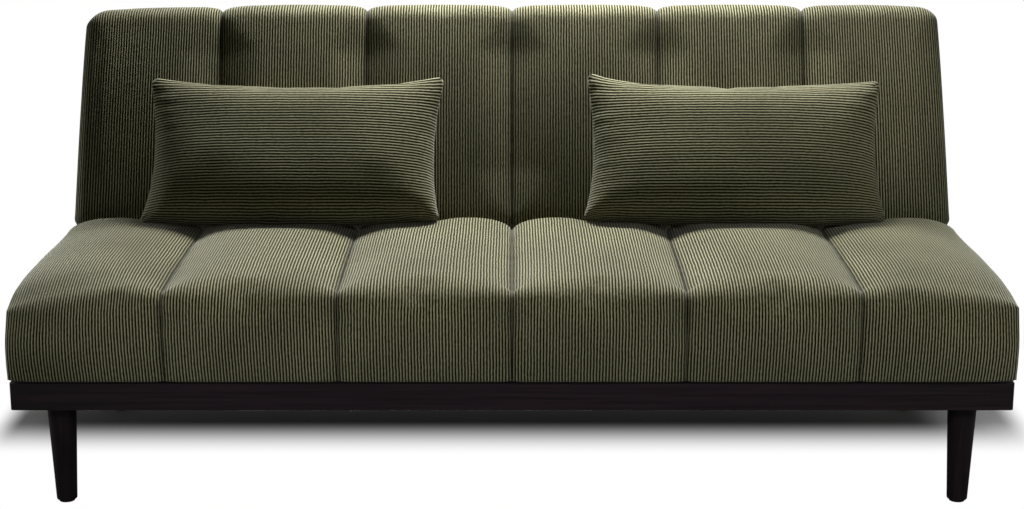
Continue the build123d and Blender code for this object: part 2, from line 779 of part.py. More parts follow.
webbing_steps = (-7, -6, -5, -3, -2, -1, 1, 2, 3, 5, 6, 7)
webbing_pitch = (stile_inner - webbing_end_gap) / webbing_steps[-1]

with BuildPart() as back_webbing:
    with BuildSketch(back_face.offset(frame_front)):
        with Locations(*[(step * webbing_pitch, (stile_start + stile_end) / 2) for step in webbing_steps]):
            Rectangle(webbing_width, stile_end - stile_start - 2 * back_rail_width + 2 * webbing_overlap)
    extrude(amount=webbing_thickness)

with BuildPart() as back_foam:
    with BuildSketch(back_face.offset(webbing_front)):
        with Locations((0, (back_core_start + back_core_end) / 2)):
            Rectangle(2 * (arm_inner - 2 * arm_margin), back_core_end - back_core_start - 2 * soft_gap)
    extrude(amount=hinge_drop - padding - soft_gap - webbing_front)

rear_plane = back_face.offset(back_rear)
front_plane = back_face.offset(hinge_drop)

with BuildPart() as back_channel:
    extrude(back_profile(), amount=back_channel_pitch / 2, both=True)
    channel_edges = back_channel.faces().filter_by(Axis.X).edges()
    raised_edges = channel_edges.filter_by(lambda edge: rear_plane.to_local_coords(edge.center()).Z > fit)
    fillet(raised_edges, channel_round)

with BuildPart() as back_end_channel:
    with BuildSketch(back_face.offset(back_rear)) as back_end_outline:
        with BuildLine():
            Polyline(
                (back_end_x, hinge_reach),
                (back_half_width, hinge_reach),
                (back_half_width - back_taper, back_tip),
                (back_end_x, back_tip),
                close=True,
            )
        make_face()
        fillet(back_end_outline.vertices().group_by(Axis.Y)[-1].sort_by(Axis.X)[-1:], back_corner_round)
    extrude(amount=back_thickness)
    end_edges = back_end_channel.edges()
    front_edges = end_edges.filter_by(lambda edge: abs(front_plane.to_local_coords(edge.center()).Z) < fit)
    fillet(front_edges.filter_by(lambda edge: edge.center().X > back_end_x + fit), back_edge_round)
    inner_edges = back_end_channel.faces().filter_by(Axis.X).sort_by(Axis.X)[0].edges()
    raised_edges = inner_edges.filter_by(lambda edge: rear_plane.to_local_coords(edge.center()).Z > fit)
    fillet(raised_edges, channel_round)

slot_half = plate_thickness / 2 + 2 * washer_thickness
pocket_inner = arm_inner - pin_head_thickness - slot_half
pocket_outer = plate_outer + pin_head_thickness + 2 * washer_thickness

with BuildPart() as back_cover:
    with Locations(*[(step * back_channel_pitch, 0, 0) for step in (-1.5, -0.5, 0.5, 1.5)]):
        add(back_channel.part)
    add(back_end_channel.part)
    mirror(back_end_channel.part, about=Plane.YZ)
    with BuildSketch(back_face.offset(back_rear)):
        with Locations((0, (back_core_start + back_core_end) / 2)):
            Rectangle(2 * back_cavity_half, back_core_end - back_core_start)
    extrude(amount=back_thickness - padding, mode=Mode.SUBTRACT)
    with BuildSketch(back_face.offset(-arm_neck_drop - arm_margin)):
        for side in (-1, 1):
            with Locations((side * (arm_inner + plate_thickness / 2), hinge_reach + padding / 2)):
                Rectangle(2 * slot_half, padding + 2 * arm_margin)
    extrude(amount=arm_neck_drop + eye_radius + 2 * arm_margin, mode=Mode.SUBTRACT)
    with BuildSketch(hinge_side.offset(pocket_inner)):
        Circle(hinge_pocket_radius)
    extrude(amount=pocket_outer - pocket_inner, mode=Mode.SUBTRACT)
    with BuildSketch(hinge_side.offset(-pocket_inner)):
        Circle(hinge_pocket_radius)
    extrude(amount=pocket_inner - pocket_outer, mode=Mode.SUBTRACT)

with BuildPart() as back_panel:
    with BuildSketch(back_face.offset(back_rear)):
        with Locations((0, (back_core_start + back_core_end) / 2)):
            Rectangle(2 * (back_cavity_half - soft_gap), back_core_end - back_core_start - 2 * soft_gap)
    extrude(amount=back_panel_thickness)

# Loose pillows: a cover around a filled insert
pillow_origin = back_side.from_local_coords((pillow_u, pillow_n, pillow_offset))
pillow_side = Plane(origin=pillow_origin, x_dir=back_side.x_dir, z_dir=back_side.z_dir)
pillow_plan = Plane(origin=pillow_origin, x_dir=(1, 0, 0), z_dir=back_side.x_dir)


def pillow_cut(inset):
    return pillow_height - 4 * inset, pillow_width - 4 * inset, pillow_thickness - 2 * inset


with BuildPart() as pillow_insert_right:
    height, width, thickness = pillow_cut(pillow_wall + soft_gap)
    extrude(pillow_side * lens(height, thickness), amount=width / 2, both=True)
    extrude(pillow_plan * lens(width, thickness), amount=height, both=True, mode=Mode.INTERSECT)

with BuildPart() as pillow_void:
    height, width, thickness = pillow_cut(pillow_wall)
    extrude(pillow_side * lens(height, thickness), amount=width / 2, both=True)
    extrude(pillow_plan * lens(width, thickness), amount=height, both=True, mode=Mode.INTERSECT)

with BuildPart() as pillow_cover_right:
    height, width, thickness = pillow_cut(0)
    extrude(pillow_side * lens(height, thickness), amount=width / 2, both=True)
    extrude(pillow_plan * lens(width, thickness), amount=height, both=True, mode=Mode.INTERSECT)
    add(pillow_void.part, mode=Mode.SUBTRACT)

with BuildPart() as pillow_insert_left:
    mirror(pillow_insert_right.part, about=Plane.YZ)

with BuildPart() as pillow_cover_left:
    mirror(pillow_cover_right.part, about=Plane.YZ)

# Files
pieces = {
    "front_rail": front_rail,
    "rear_rail": rear_rail,
    "left_rail": left_rail,
    "right_rail": right_rail,
    "cross_rails_left": cross_rails_left,
    "cross_rails_right": cross_rails_right,
    "rail_dowels": rail_dowels,
    "leg_blocks": leg_blocks,
    "block_screws": block_screws,
    "leg_front_left": leg_front_left,
    "leg_front_right": leg_front_right,
    "leg_rear_left": leg_rear_left,
    "leg_rear_right": leg_rear_right,
    "leg_bolts": leg_bolts,
    "leg_glides": leg_glides,
    "dust_cloth": dust_cloth,
    "seat_frame_front": seat_frame_front,
    "seat_frame_rear": seat_frame_rear,
    "seat_frame_left": seat_frame_left,
    "seat_frame_right": seat_frame_right,
    "seat_frame_centre": seat_frame_centre,
    "seat_bolts": seat_bolts,
    "seat_springs": seat_springs,
    "spring_clips": spring_clips,
    "seat_foam": seat_foam,
    "seat_cover": seat_cover,
    "hinge_plate_left": hinge_plate_left,
    "hinge_plate_right": hinge_plate_right,
    "hinge_arm_left": hinge_arm_left,
    "hinge_arm_right": hinge_arm_right,
    "hinge_pin_left": hinge_pin_left,
    "hinge_pin_right": hinge_pin_right,
    "hinge_washers": hinge_washers,
    "pawl_left": pawl_left,
    "pawl_right": pawl_right,
    "pawl_pins": pawl_pins,
    "pawl_springs": pawl_springs,
    "hinge_plate_bolts": hinge_plate_bolts,
    "hinge_arm_bolts": hinge_arm_bolts,
    "back_frame_left": back_frame_left,
    "back_frame_right": back_frame_right,
    "back_frame_bottom": back_frame_bottom,
    "back_frame_top": back_frame_top,
    "back_frame_stiles": back_frame_stiles,
    "back_webbing": back_webbing,
    "back_foam": back_foam,
    "back_cover": back_cover,
    "back_panel": back_panel,
    "pillow_cover_left": pillow_cover_left,
    "pillow_cover_right": pillow_cover_right,
    "pillow_insert_left": pillow_insert_left,
    "pillow_insert_right": pillow_insert_right,
}

for name, piece in pieces.items():
    piece.part.label = name
    export_step(piece.part, f"parts/{name}.step")
    print(name, len(piece.part.solids()), "solids")
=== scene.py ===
import json
import math

import bpy
import numpy as np
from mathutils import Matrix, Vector, noise

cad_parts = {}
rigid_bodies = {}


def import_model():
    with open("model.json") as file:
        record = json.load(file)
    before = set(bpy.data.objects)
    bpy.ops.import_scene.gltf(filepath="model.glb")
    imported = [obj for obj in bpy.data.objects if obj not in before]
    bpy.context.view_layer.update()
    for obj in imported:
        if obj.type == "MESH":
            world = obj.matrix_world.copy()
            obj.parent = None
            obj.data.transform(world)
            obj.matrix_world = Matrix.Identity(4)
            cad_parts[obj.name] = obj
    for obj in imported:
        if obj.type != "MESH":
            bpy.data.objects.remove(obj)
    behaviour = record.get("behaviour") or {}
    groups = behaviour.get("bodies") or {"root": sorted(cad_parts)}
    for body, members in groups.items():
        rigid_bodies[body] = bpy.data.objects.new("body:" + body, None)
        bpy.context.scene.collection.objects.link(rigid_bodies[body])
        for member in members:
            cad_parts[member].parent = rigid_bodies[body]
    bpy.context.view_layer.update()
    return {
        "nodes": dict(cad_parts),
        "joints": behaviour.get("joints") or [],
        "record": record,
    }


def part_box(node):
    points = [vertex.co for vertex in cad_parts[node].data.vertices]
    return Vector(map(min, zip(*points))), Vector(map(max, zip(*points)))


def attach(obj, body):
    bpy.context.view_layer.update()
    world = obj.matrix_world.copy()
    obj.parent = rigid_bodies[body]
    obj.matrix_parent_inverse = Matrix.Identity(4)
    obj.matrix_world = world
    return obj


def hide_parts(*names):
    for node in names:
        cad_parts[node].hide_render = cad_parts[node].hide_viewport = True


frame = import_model()
nodes = frame["nodes"]
scene = bpy.context.scene
print("frame loaded,", len(nodes), "nodes")


def hexColour(text):
    parts = [int(text[i:i + 2], 16) / 255 for i in (1, 3, 5)]
    linear = [c / 12.92 if c <= 0.04045 else ((c + 0.055) / 1.055) ** 2.4 for c in parts]
    return (*linear, 1.0)


def addNode(tree, kind, inputs=None, **settings):
    node = tree.nodes.new(kind)
    for name, value in settings.items():
        setattr(node, name, value)
    for key, value in (inputs or {}).items():
        if isinstance(value, bpy.types.NodeSocket):
            tree.links.new(value, node.inputs[key])
        else:
            node.inputs[key].default_value = value
    return node


def newMaterial(name):
    material = bpy.data.materials.new(name)
    material.use_nodes = True
    material.node_tree.nodes.clear()
    return material, material.node_tree


def setTones(ramp, tones):
    # tones are (place on the ramp, colour) in rising order
    first, last = ramp.elements[0], ramp.elements[1]
    first.position, first.color = tones[0][0], hexColour(tones[0][1])
    last.position, last.color = tones[-1][0], hexColour(tones[-1][1])
    for place, colour in tones[1:-1]:
        ramp.elements.new(place).color = hexColour(colour)


# camera, lamps and floor

shot = {
    "place": (0.0, -3.954, 1.388),
    "pitch": 14.05,  # degrees down
    "lens": 69.0,
    "sky": 0.045,
    "floorSize": 60.0,
    "shadowSide": (1.06, 1.13),  # the drawn floor goes white between these, from the middle
    "shadowFront": (-0.12, 0.10),
    "shadowRear": (0.55, 1.0),
}
# each row: place, aim, size, spread in degrees, watts
lamps = {
    "overhead": ((0.14, 0.56, 1.84), (0.08, -0.05, 0.45), (1.0, 0.4), 180, 57.0),
    "front": ((0.24, -1.75, 1.36), (0.24, -0.43, 0.28), (2.4, 0.3), 28, 1.9),
    "side": ((1.60, -0.50, 1.10), (0.75, 0.20, 0.65), (0.5, 0.4), 40, 0.4),
    "rear": ((0.0, 2.40, 1.50), (0.0, 0.35, 0.50), (2.2, 0.6), 60, 12.0),
    "left": ((-2.60, 0.60, 0.75), (-0.95, 0.05, 0.40), (1.0, 0.5), 50, 1.8),
}
fillLamps = ("rear", "left")  # these light the sofa alone, so the floor keeps its shadow

camData = bpy.data.cameras.new("camera")
camData.sensor_width = 36.0
camData.lens = shot["lens"]
camData.clip_end = 200.0
camera = bpy.data.objects.new("camera", camData)
camera.location = shot["place"]
camera.rotation_euler = (math.radians(90 - shot["pitch"]), 0, 0)
scene.collection.objects.link(camera)
scene.camera = camera
scene.view_settings.view_transform = "Standard"

world = bpy.data.worlds.new("studio")
scene.world = world
world.use_nodes = True
sky = world.node_tree
sky.nodes.clear()
ray = addNode(sky, "ShaderNodeLightPath")
looked = ray.outputs["Is Camera Ray"]
for kind in ("Is Glossy Ray", "Is Transmission Ray"):
    both = addNode(sky, "ShaderNodeMath", {0: looked, 1: ray.outputs[kind]}, operation="MAXIMUM")
    looked = both.outputs[0]
dim = addNode(sky, "ShaderNodeBackground", {"Color": hexColour("#ffffff"), "Strength": shot["sky"]})
bright = addNode(sky, "ShaderNodeBackground", {"Color": hexColour("#ffffff"), "Strength": 1.0})
shown = addNode(sky, "ShaderNodeMixShader", {0: looked, 1: dim.outputs[0], 2: bright.outputs[0]})
addNode(sky, "ShaderNodeOutputWorld", {"Surface": shown.outputs[0]})


def softBox(name, place, aim, size, spread, watts):
    light = bpy.data.lights.new(name, "AREA")
    light.shape = "RECTANGLE"
    light.size, light.size_y = size
    light.energy = watts
    light.spread = math.radians(spread)
    lamp = bpy.data.objects.new(name, light)
    lamp.location = place
    lamp.rotation_euler = (Vector(aim) - Vector(place)).to_track_quat("-Z", "Y").to_euler()
    lamp.visible_camera = False  # it lights every view and is drawn in none
    scene.collection.objects.link(lamp)
    return lamp


sofaOnly = bpy.data.collections.new("sofaOnly")
for name, setup in lamps.items():
    lamp = softBox(name, *setup)
    if name in fillLamps:
        lamp.light_linking.receiver_collection = sofaOnly


def makeFloor():
    # matt white paper: pure white in the open, its own shading where the sofa shades it
    material, tree = newMaterial("whitePaper")
    ray = addNode(tree, "ShaderNodeLightPath")
    spot = addNode(tree, "ShaderNodeTexCoord")
    axes = addNode(tree, "ShaderNodeSeparateXYZ", {0: spot.outputs["Object"]})
    side = addNode(tree, "ShaderNodeMath", {0: axes.outputs["X"]}, operation="ABSOLUTE")
    shade = None
    for value, (start, end), rising in (
        (side.outputs[0], shot["shadowSide"], False),
        (axes.outputs["Y"], shot["shadowFront"], True),
        (axes.outputs["Y"], shot["shadowRear"], False),
    ):
        low, high = (0.0, 1.0) if rising else (1.0, 0.0)
        ends = {"From Min": start, "From Max": end, "To Min": low, "To Max": high}
        part = addNode(tree, "ShaderNodeMapRange", {"Value": value, **ends}, interpolation_type="SMOOTHSTEP")
        if shade is None:
            shade = part.outputs[0]
        else:
            both = addNode(tree, "ShaderNodeMath", {0: shade, 1: part.outputs[0]}, operation="MULTIPLY")
            shade = both.outputs[0]
    paper = addNode(tree, "ShaderNodeBsdfDiffuse", {"Color": hexColour("#f2f2f2")})
    glow = addNode(tree, "ShaderNodeEmission", {"Color": hexColour("#ffffff"), "Strength": 1.0})
    shown = addNode(tree, "ShaderNodeMixShader", {0: shade, 1: glow.outputs[0], 2: paper.outputs[0]})
    bounce = addNode(tree, "ShaderNodeBsdfDiffuse", {"Color": hexColour("#6e6e6e")})
    kinds = {0: ray.outputs["Is Camera Ray"], 1: bounce.outputs[0], 2: shown.outputs[0]}
    mixed = addNode(tree, "ShaderNodeMixShader", kinds)
    addNode(tree, "ShaderNodeOutputMaterial", {"Surface": mixed.outputs[0]})
    return material


reach = shot["floorSize"] / 2
floorMesh = bpy.data.meshes.new("floor")
square = [(-reach, -reach, 0), (reach, -reach, 0), (reach, reach, 0), (-reach, reach, 0)]
floorMesh.from_pydata(square, [], [(0, 1, 2, 3)])
floorMesh.materials.append(makeFloor())
floor = bpy.data.objects.new("floor", floorMesh)
scene.collection.objects.link(floor)
print("stage ready")


noiseRange = {"From Min": 0.3, "From Max": 0.7}  # where most values of a noise lie

# cloth

corduroy = {
    "tones": ((0.10, "#0f0e02"), (0.50, "#474626"), (0.90, "#969479")),  # valley, flank, ridge: the dark valley is partly painted shade between the ribs, the pale greyish ridge partly painted sheen
    "roughness": 0.92,
    "sheen": "#dcdcd0",
    "sheenWeight": 0.45,
    "sheenRough": 0.45,
    "seamShadeTone": 0.22,  # share of the colour left in the bottom of a seam: painted shade
    "wale": 0.0059,  # rib spacing, m
    "pillowWale": 0.0061,
    "ribHeight": 0.0012,
    "waver": 0.9,  # how far the ribs leave a straight line
    "pile": (0.0035, 0.0080),  # tufts across and along a rib, drawn coarser than real so that they show
    "pileTone": 0.75,  # how much the tufts break up the colour of a rib
    "pileRelief": 0.35,  # and its height
    "nap": (0.16, 0.22),  # patches where the pile was brushed another way
    "napShade": (0.84, 1.14),
}


def makeCorduroy(name, wale):
    # cotton corduroy: cut-pile ribs, dark between them partly as painted shade, dry and matt with a pale
    # bloom at low angles
    material, tree = newMaterial(name)
    uv = addNode(tree, "ShaderNodeUVMap", uv_map="cloth")
    ribs = addNode(
        tree,
        "ShaderNodeTexWave",
        {
            "Vector": uv.outputs["UV"],
            "Scale": math.pi / 10 / wale,
            "Distortion": corduroy["waver"],
            "Detail": 1.0,
            "Detail Scale": 0.6,
        },
        wave_type="BANDS",
        bands_direction="X",
        wave_profile="SIN",
    )
    tuft = (1 / corduroy["pile"][0], 1 / corduroy["pile"][1], 1.0)
    stretch = addNode(tree, "ShaderNodeMapping", {"Vector": uv.outputs["UV"], "Scale": tuft})
    pile = addNode(tree, "ShaderNodeTexNoise", {"Vector": stretch.outputs[0], "Scale": 1.0, "Detail": 2.0})
    broad = (1 / corduroy["nap"][0], 1 / corduroy["nap"][1], 1.0)
    patch = addNode(tree, "ShaderNodeMapping", {"Vector": uv.outputs["UV"], "Scale": broad})
    nap = addNode(tree, "ShaderNodeTexNoise", {"Vector": patch.outputs[0], "Scale": 1.0, "Detail": 3.0})
    rough = addNode(tree, "ShaderNodeMath", {0: pile.outputs["Fac"], 1: -0.5}, operation="ADD")
    mixIn = {0: rough.outputs[0], 1: corduroy["pileTone"], 2: ribs.outputs["Fac"]}
    fuzzy = addNode(tree, "ShaderNodeMath", mixIn, operation="MULTIPLY_ADD")
    # painted shade and sheen: the ramp darkens the valleys between ribs and pales the ridge tops beyond the
    # cloth's own colour
    tint = addNode(tree, "ShaderNodeValToRGB", {"Fac": fuzzy.outputs[0]})
    setTones(tint.color_ramp, corduroy["tones"])
    least, most = corduroy["napShade"]
    ends = {**noiseRange, "To Min": least, "To Max": most}
    shade = addNode(tree, "ShaderNodeMapRange", {"Value": nap.outputs["Fac"], **ends})
    # painted shade: the colour is darkened in and beside each seam
    drawn = addNode(tree, "ShaderNodeAttribute", attribute_name="paintedSeamShade")
    ends = {"To Min": 1.0, "To Max": corduroy["seamShadeTone"]}
    seamShadeFactor = addNode(tree, "ShaderNodeMapRange", {"Value": drawn.outputs["Fac"], **ends})
    depth = addNode(tree, "ShaderNodeMath", {0: shade.outputs[0], 1: seamShadeFactor.outputs[0]}, operation="MULTIPLY")
    toned = addNode(
        tree,
        "ShaderNodeVectorMath",
        {0: tint.outputs["Color"], "Scale": depth.outputs[0]},
        operation="SCALE",
    )
    mixIn = {0: rough.outputs[0], 1: corduroy["pileRelief"], 2: ribs.outputs["Fac"]}
    height = addNode(tree, "ShaderNodeMath", mixIn, operation="MULTIPLY_ADD")
    relief = {"Strength": 0.6, "Distance": corduroy["ribHeight"], "Height": height.outputs[0]}
    bump = addNode(tree, "ShaderNodeBump", relief)
    shader = addNode(
        tree,
        "ShaderNodeBsdfPrincipled",
        {
            "Base Color": toned.outputs[0],
            "Roughness": corduroy["roughness"],
            "Specular IOR Level": 0.0,
            "Sheen Weight": corduroy["sheenWeight"],
            "Sheen Roughness": corduroy["sheenRough"],
            "Sheen Tint": hexColour(corduroy["sheen"]),
            "Normal": bump.outputs[0],
        },
    )
    addNode(tree, "ShaderNodeOutputMaterial", {"Surface": shader.outputs[0]})
    return material


oliveCorduroy = makeCorduroy("oliveCorduroy", corduroy["wale"])
pillowCorduroy = makeCorduroy("pillowCorduroy", corduroy["pillowWale"])
print("cloth materials ready")


# wood, metal and the hidden cloths

stainedBeech = {
    "tones": ((0.25, "#0c0709"), (0.52, "#150d12"), (0.80, "#1f1217")),
    "grainWide": 0.004,
    "grainLong": 0.20,
    "cloud": 0.35,  # slow drift of the stain, m
    "roughness": (0.42, 0.58),
    "specular": 0.22,
    "poreDepth": 0.00012,
}
pine = {
    "tones": ((0.25, "#8d6a40"), (0.52, "#b9945f"), (0.80, "#d3b283")),
    "grainWide": 0.007,
    "grainLong": 0.30,
    "cloud": 0.40,
    "roughness": (0.62, 0.80),
    "specular": 0.30,
    "poreDepth": 0.00025,
}


def makeWood(name, axis, wood):
    # planed and stained or bare wood: long fine grain, satin where it is lacquered
    material, tree = newMaterial(name)
    spot = addNode(tree, "ShaderNodeTexCoord")
    fine = [1 / wood["grainWide"]] * 3
    fine["XYZ".index(axis)] = 1 / wood["grainLong"]
    lines = addNode(tree, "ShaderNodeMapping", {"Vector": spot.outputs["Object"], "Scale": fine})
    grainIn = {"Vector": lines.outputs[0], "Scale": 1.0, "Detail": 4.0, "Distortion": 0.6}
    grain = addNode(tree, "ShaderNodeTexNoise", grainIn)
    slow = {"Vector": spot.outputs["Object"], "Scale": 1 / wood["cloud"], "Detail": 2.0}
    cloud = addNode(tree, "ShaderNodeTexNoise", slow)
    share, centre = 0.45, -0.22  # of the slow drift in the tone
    mixIn = {0: cloud.outputs["Fac"], 1: share, 2: centre}
    drift = addNode(tree, "ShaderNodeMath", mixIn, operation="MULTIPLY_ADD")
    mixIn = {0: grain.outputs["Fac"], 1: drift.outputs[0]}
    depth = addNode(tree, "ShaderNodeMath", mixIn, operation="ADD")
    tint = addNode(tree, "ShaderNodeValToRGB", {"Fac": depth.outputs[0]})
    setTones(tint.color_ramp, wood["tones"])
    least, most = wood["roughness"]
    ends = {**noiseRange, "To Min": least, "To Max": most}
    polish = addNode(tree, "ShaderNodeMapRange", {"Value": grain.outputs["Fac"], **ends})
    relief = {"Strength": 0.6, "Distance": wood["poreDepth"], "Height": grain.outputs["Fac"]}
    bump = addNode(tree, "ShaderNodeBump", relief)
    shader = addNode(
        tree,
        "ShaderNodeBsdfPrincipled",
        {
            "Base Color": tint.outputs["Color"],
            "Roughness": polish.outputs[0],
            "Specular IOR Level": wood["specular"],
            "Normal": bump.outputs[0],
        },
    )
    addNode(tree, "ShaderNodeOutputMaterial", {"Surface": shader.outputs[0]})
    return material


# each row: two tones, grit size in m, roughness range, metallic, relief in m
hardFinishes = {
    # plated steel: bright, faintly cloudy
    "zincSteel": ("#8f949a", "#c3c7cb", 0.0012, (0.28, 0.46), 1.0, 0.00004),
    # powder-coated steel: a fine orange peel, half matt
    "blackSteel": ("#0d0e0f", "#1d1e20", 0.0009, (0.48, 0.66), 0.0, 0.00010),
    # oil-tempered wire: dull grey metal
    "springWire": ("#2b2c2e", "#4a4b4d", 0.0010, (0.34, 0.52), 1.0, 0.00004),
    # moulded nylon: satin, faintly scuffed all over
    "nylon": ("#121213", "#232325", 0.0015, (0.40, 0.58), 0.0, 0.00005),
    # bonded fleece: matt and patchy, fibres drawn coarser than real
    "dustFleece": ("#0c0c0d", "#232324", 0.0022, (0.86, 0.96), 0.0, 0.00030),
    # woven jute: coarse and dry
    "beltWebbing": ("#5d4c33", "#a08a61", 0.0026, (0.80, 0.94), 0.0, 0.00040),
    # twisted polyester: soft gloss, toned darker than the cloth as painted shade in the seam
    "seamShadeThread": ("#121105", "#2c2b18", 0.0008, (0.60, 0.78), 0.0, 0.00010),
}


def makeHard(name, finish):
    dark, light, grit, polish, metallic, depth = finish
    material, tree = newMaterial(name)
    spot = addNode(tree, "ShaderNodeTexCoord")
    speckIn = {"Vector": spot.outputs["Object"], "Scale": 1 / grit, "Detail": 3.0}
    speck = addNode(tree, "ShaderNodeTexNoise", speckIn)
    tint = addNode(tree, "ShaderNodeValToRGB", {"Fac": speck.outputs["Fac"]})
    setTones(tint.color_ramp, ((0.3, dark), (0.7, light)))
    ends = {**noiseRange, "To Min": polish[0], "To Max": polish[1]}
    rough = addNode(tree, "ShaderNodeMapRange", {"Value": speck.outputs["Fac"], **ends})
    relief = {"Strength": 0.5, "Distance": depth, "Height": speck.outputs["Fac"]}
    bump = addNode(tree, "ShaderNodeBump", relief)
    shader = addNode(
        tree,
        "ShaderNodeBsdfPrincipled",
        {
            "Base Color": tint.outputs["Color"],
            "Roughness": rough.outputs[0],
            "Metallic": metallic,
            "Normal": bump.outputs[0],
        },
    )
    addNode(tree, "ShaderNodeOutputMaterial", {"Surface": shader.outputs[0]})
    return material


hard = {name: makeHard(name, finish) for name, finish in hardFinishes.items()}
beech = {axis: makeWood("stainedBeech" + axis, axis, stainedBeech) for axis in "XYZ"}
timber = {axis: makeWood("pine" + axis, axis, pine) for axis in "XYZ"}
finishOf = {
    "zinc_steel": hard["zincSteel"],
    "black_steel": hard["blackSteel"],
    "glide_plastic": hard["nylon"],
    "dust_cloth": hard["dustFleece"],
    "webbing": hard["beltWebbing"],
    "olive_corduroy": oliveCorduroy,
    "pillow_corduroy": pillowCorduroy,
}


def grainAxis(node):
    # timber runs along the longest side of its piece; legs are turned upright
    low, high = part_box(node)
    size = [high[k] - low[k] for k in range(3)]
    return "Z" if node.startswith("leg_") else "XYZ"[size.index(max(size))]


for part in frame["record"]["subparts"]:
    node, slot = part["node"], part["material_slot"]
    if slot == "espresso_wood":
        finish = beech[grainAxis(node)]
    elif slot == "pale_wood":
        finish = timber[grainAxis(node)]
    elif node == "seat_springs":
        finish = hard["springWire"]
    else:
        finish = finishOf.get(slot, oliveCorduroy)
    shell = nodes[node]
    if not shell.material_slots:
        shell.data.materials.append(finish)
    for holder in shell.material_slots:
        holder.material = finish
print("wood and metal finishes set")


# grids for the cushions

seamSteps = np.array([0, 2.5, 7, 13, 21, 31, 43, 57, 73, 91, 111, 131, 149]) / 1000  # columns beside a seam
endSteps = np.array([0, 1, 3.5, 7.5, 13, 20, 28, 38, 50, 64, 80, 98, 118]) / 1000  # and beside an end
middleGap = 0.004  # columns stay this far from the middle of a channel
sewing = {
    "shadeFade": 0.0035,  # the painted seam shade fades over this distance from a seam
    "pinchFade": 0.0022,  # the seam is drawn in this close to it
    "gatherFade": 0.022,  # gathers reach this far from it
    "gatherRate": 20,  # and change this often in a metre across
    "endFade": 0.12,  # the pad gets its slack this far from an end
    "endHeld": 0.045,  # and the ends don't swell
}
foamCloth = {  # close cover over foam, the same on seat and back
    "mass": 0.3,
    "stretch": 12.0,
    "shear": 5.0,
    "bend": 1.2,
    "spare": 0.0,
    "air": 1.0,
    "pressure": 2.0,
    "frames": 20,
    "stopAt": 9.0,
}


def resample(points, count):
    pts = np.array(points, float)
    at = np.concatenate([[0], np.cumsum(np.linalg.norm(np.diff(pts, axis=0), axis=1))])
    want = np.linspace(0, at[-1], count + 1)
    return np.stack([np.interp(want, at, pts[:, k]) for k in (0, 1)], 1)


def arcPoints(centre, radius, start, end, count=12):
    turn = np.radians(np.linspace(start, end, count + 1))
    return [(centre[0] + radius * math.cos(a), centre[1] + radius * math.sin(a)) for a in turn]


def archDrop(distance, depth, width):
    t = np.clip(1 - distance / width, 0, 1)
    return depth * (1 - np.sqrt(np.maximum(1 - t ** 2, 0)))


def smoothStep(value, start, end):
    t = np.clip((value - start) / (end - start), 0, 1)
    return t * t * (3 - 2 * t)


def toNearest(x, places):
    return np.abs(x[:, None] - np.array(places)[None]).min(1)


def channelColumns(seams, halfWidth, extra=()):
    places = []
    edges = [-halfWidth, *seams, halfWidth]
    for left, right in zip(edges[:-1], edges[1:]):
        middle = (left + right) / 2
        fromLeft = left + (endSteps if left == -halfWidth else seamSteps)
        fromRight = right - (endSteps if right == halfWidth else seamSteps)
        places += [x for x in fromLeft if x < middle - middleGap]
        places += [middle]
        places += [x for x in fromRight[::-1] if x > middle + middleGap]
    return np.array(sorted(set(np.round(places + list(extra), 6))))


def patchGrid(front, top, rear, low):
    # a four-sided patch between the runs of an end outline
    rear, low = rear[::-1], low[::-1]
    a = np.linspace(0, 1, len(top))[:, None, None]
    b = np.linspace(0, 1, len(front))[None, :, None]
    corner = (1 - a) * (1 - b) * front[0] + a * (1 - b) * rear[0] + (1 - a) * b * front[-1] + a * b * rear[-1]
    return (1 - a) * front[None] + a * rear[None] + (1 - b) * low[:, None] + b * top[:, None] - corner


def clothMesh(name, points, faces, corners):
    # corners holds one cloth coordinate, in metres, for each face corner
    mesh = bpy.data.meshes.new(name)
    mesh.from_pydata([tuple(p) for p in points], [], faces)
    mesh.uv_layers.new(name="cloth").data.foreach_set("uv", np.array(corners, np.float32).ravel())
    mesh.polygons.foreach_set("use_smooth", [True] * len(mesh.polygons))
    piece = bpy.data.objects.new(name, mesh)
    scene.collection.objects.link(piece)
    return piece


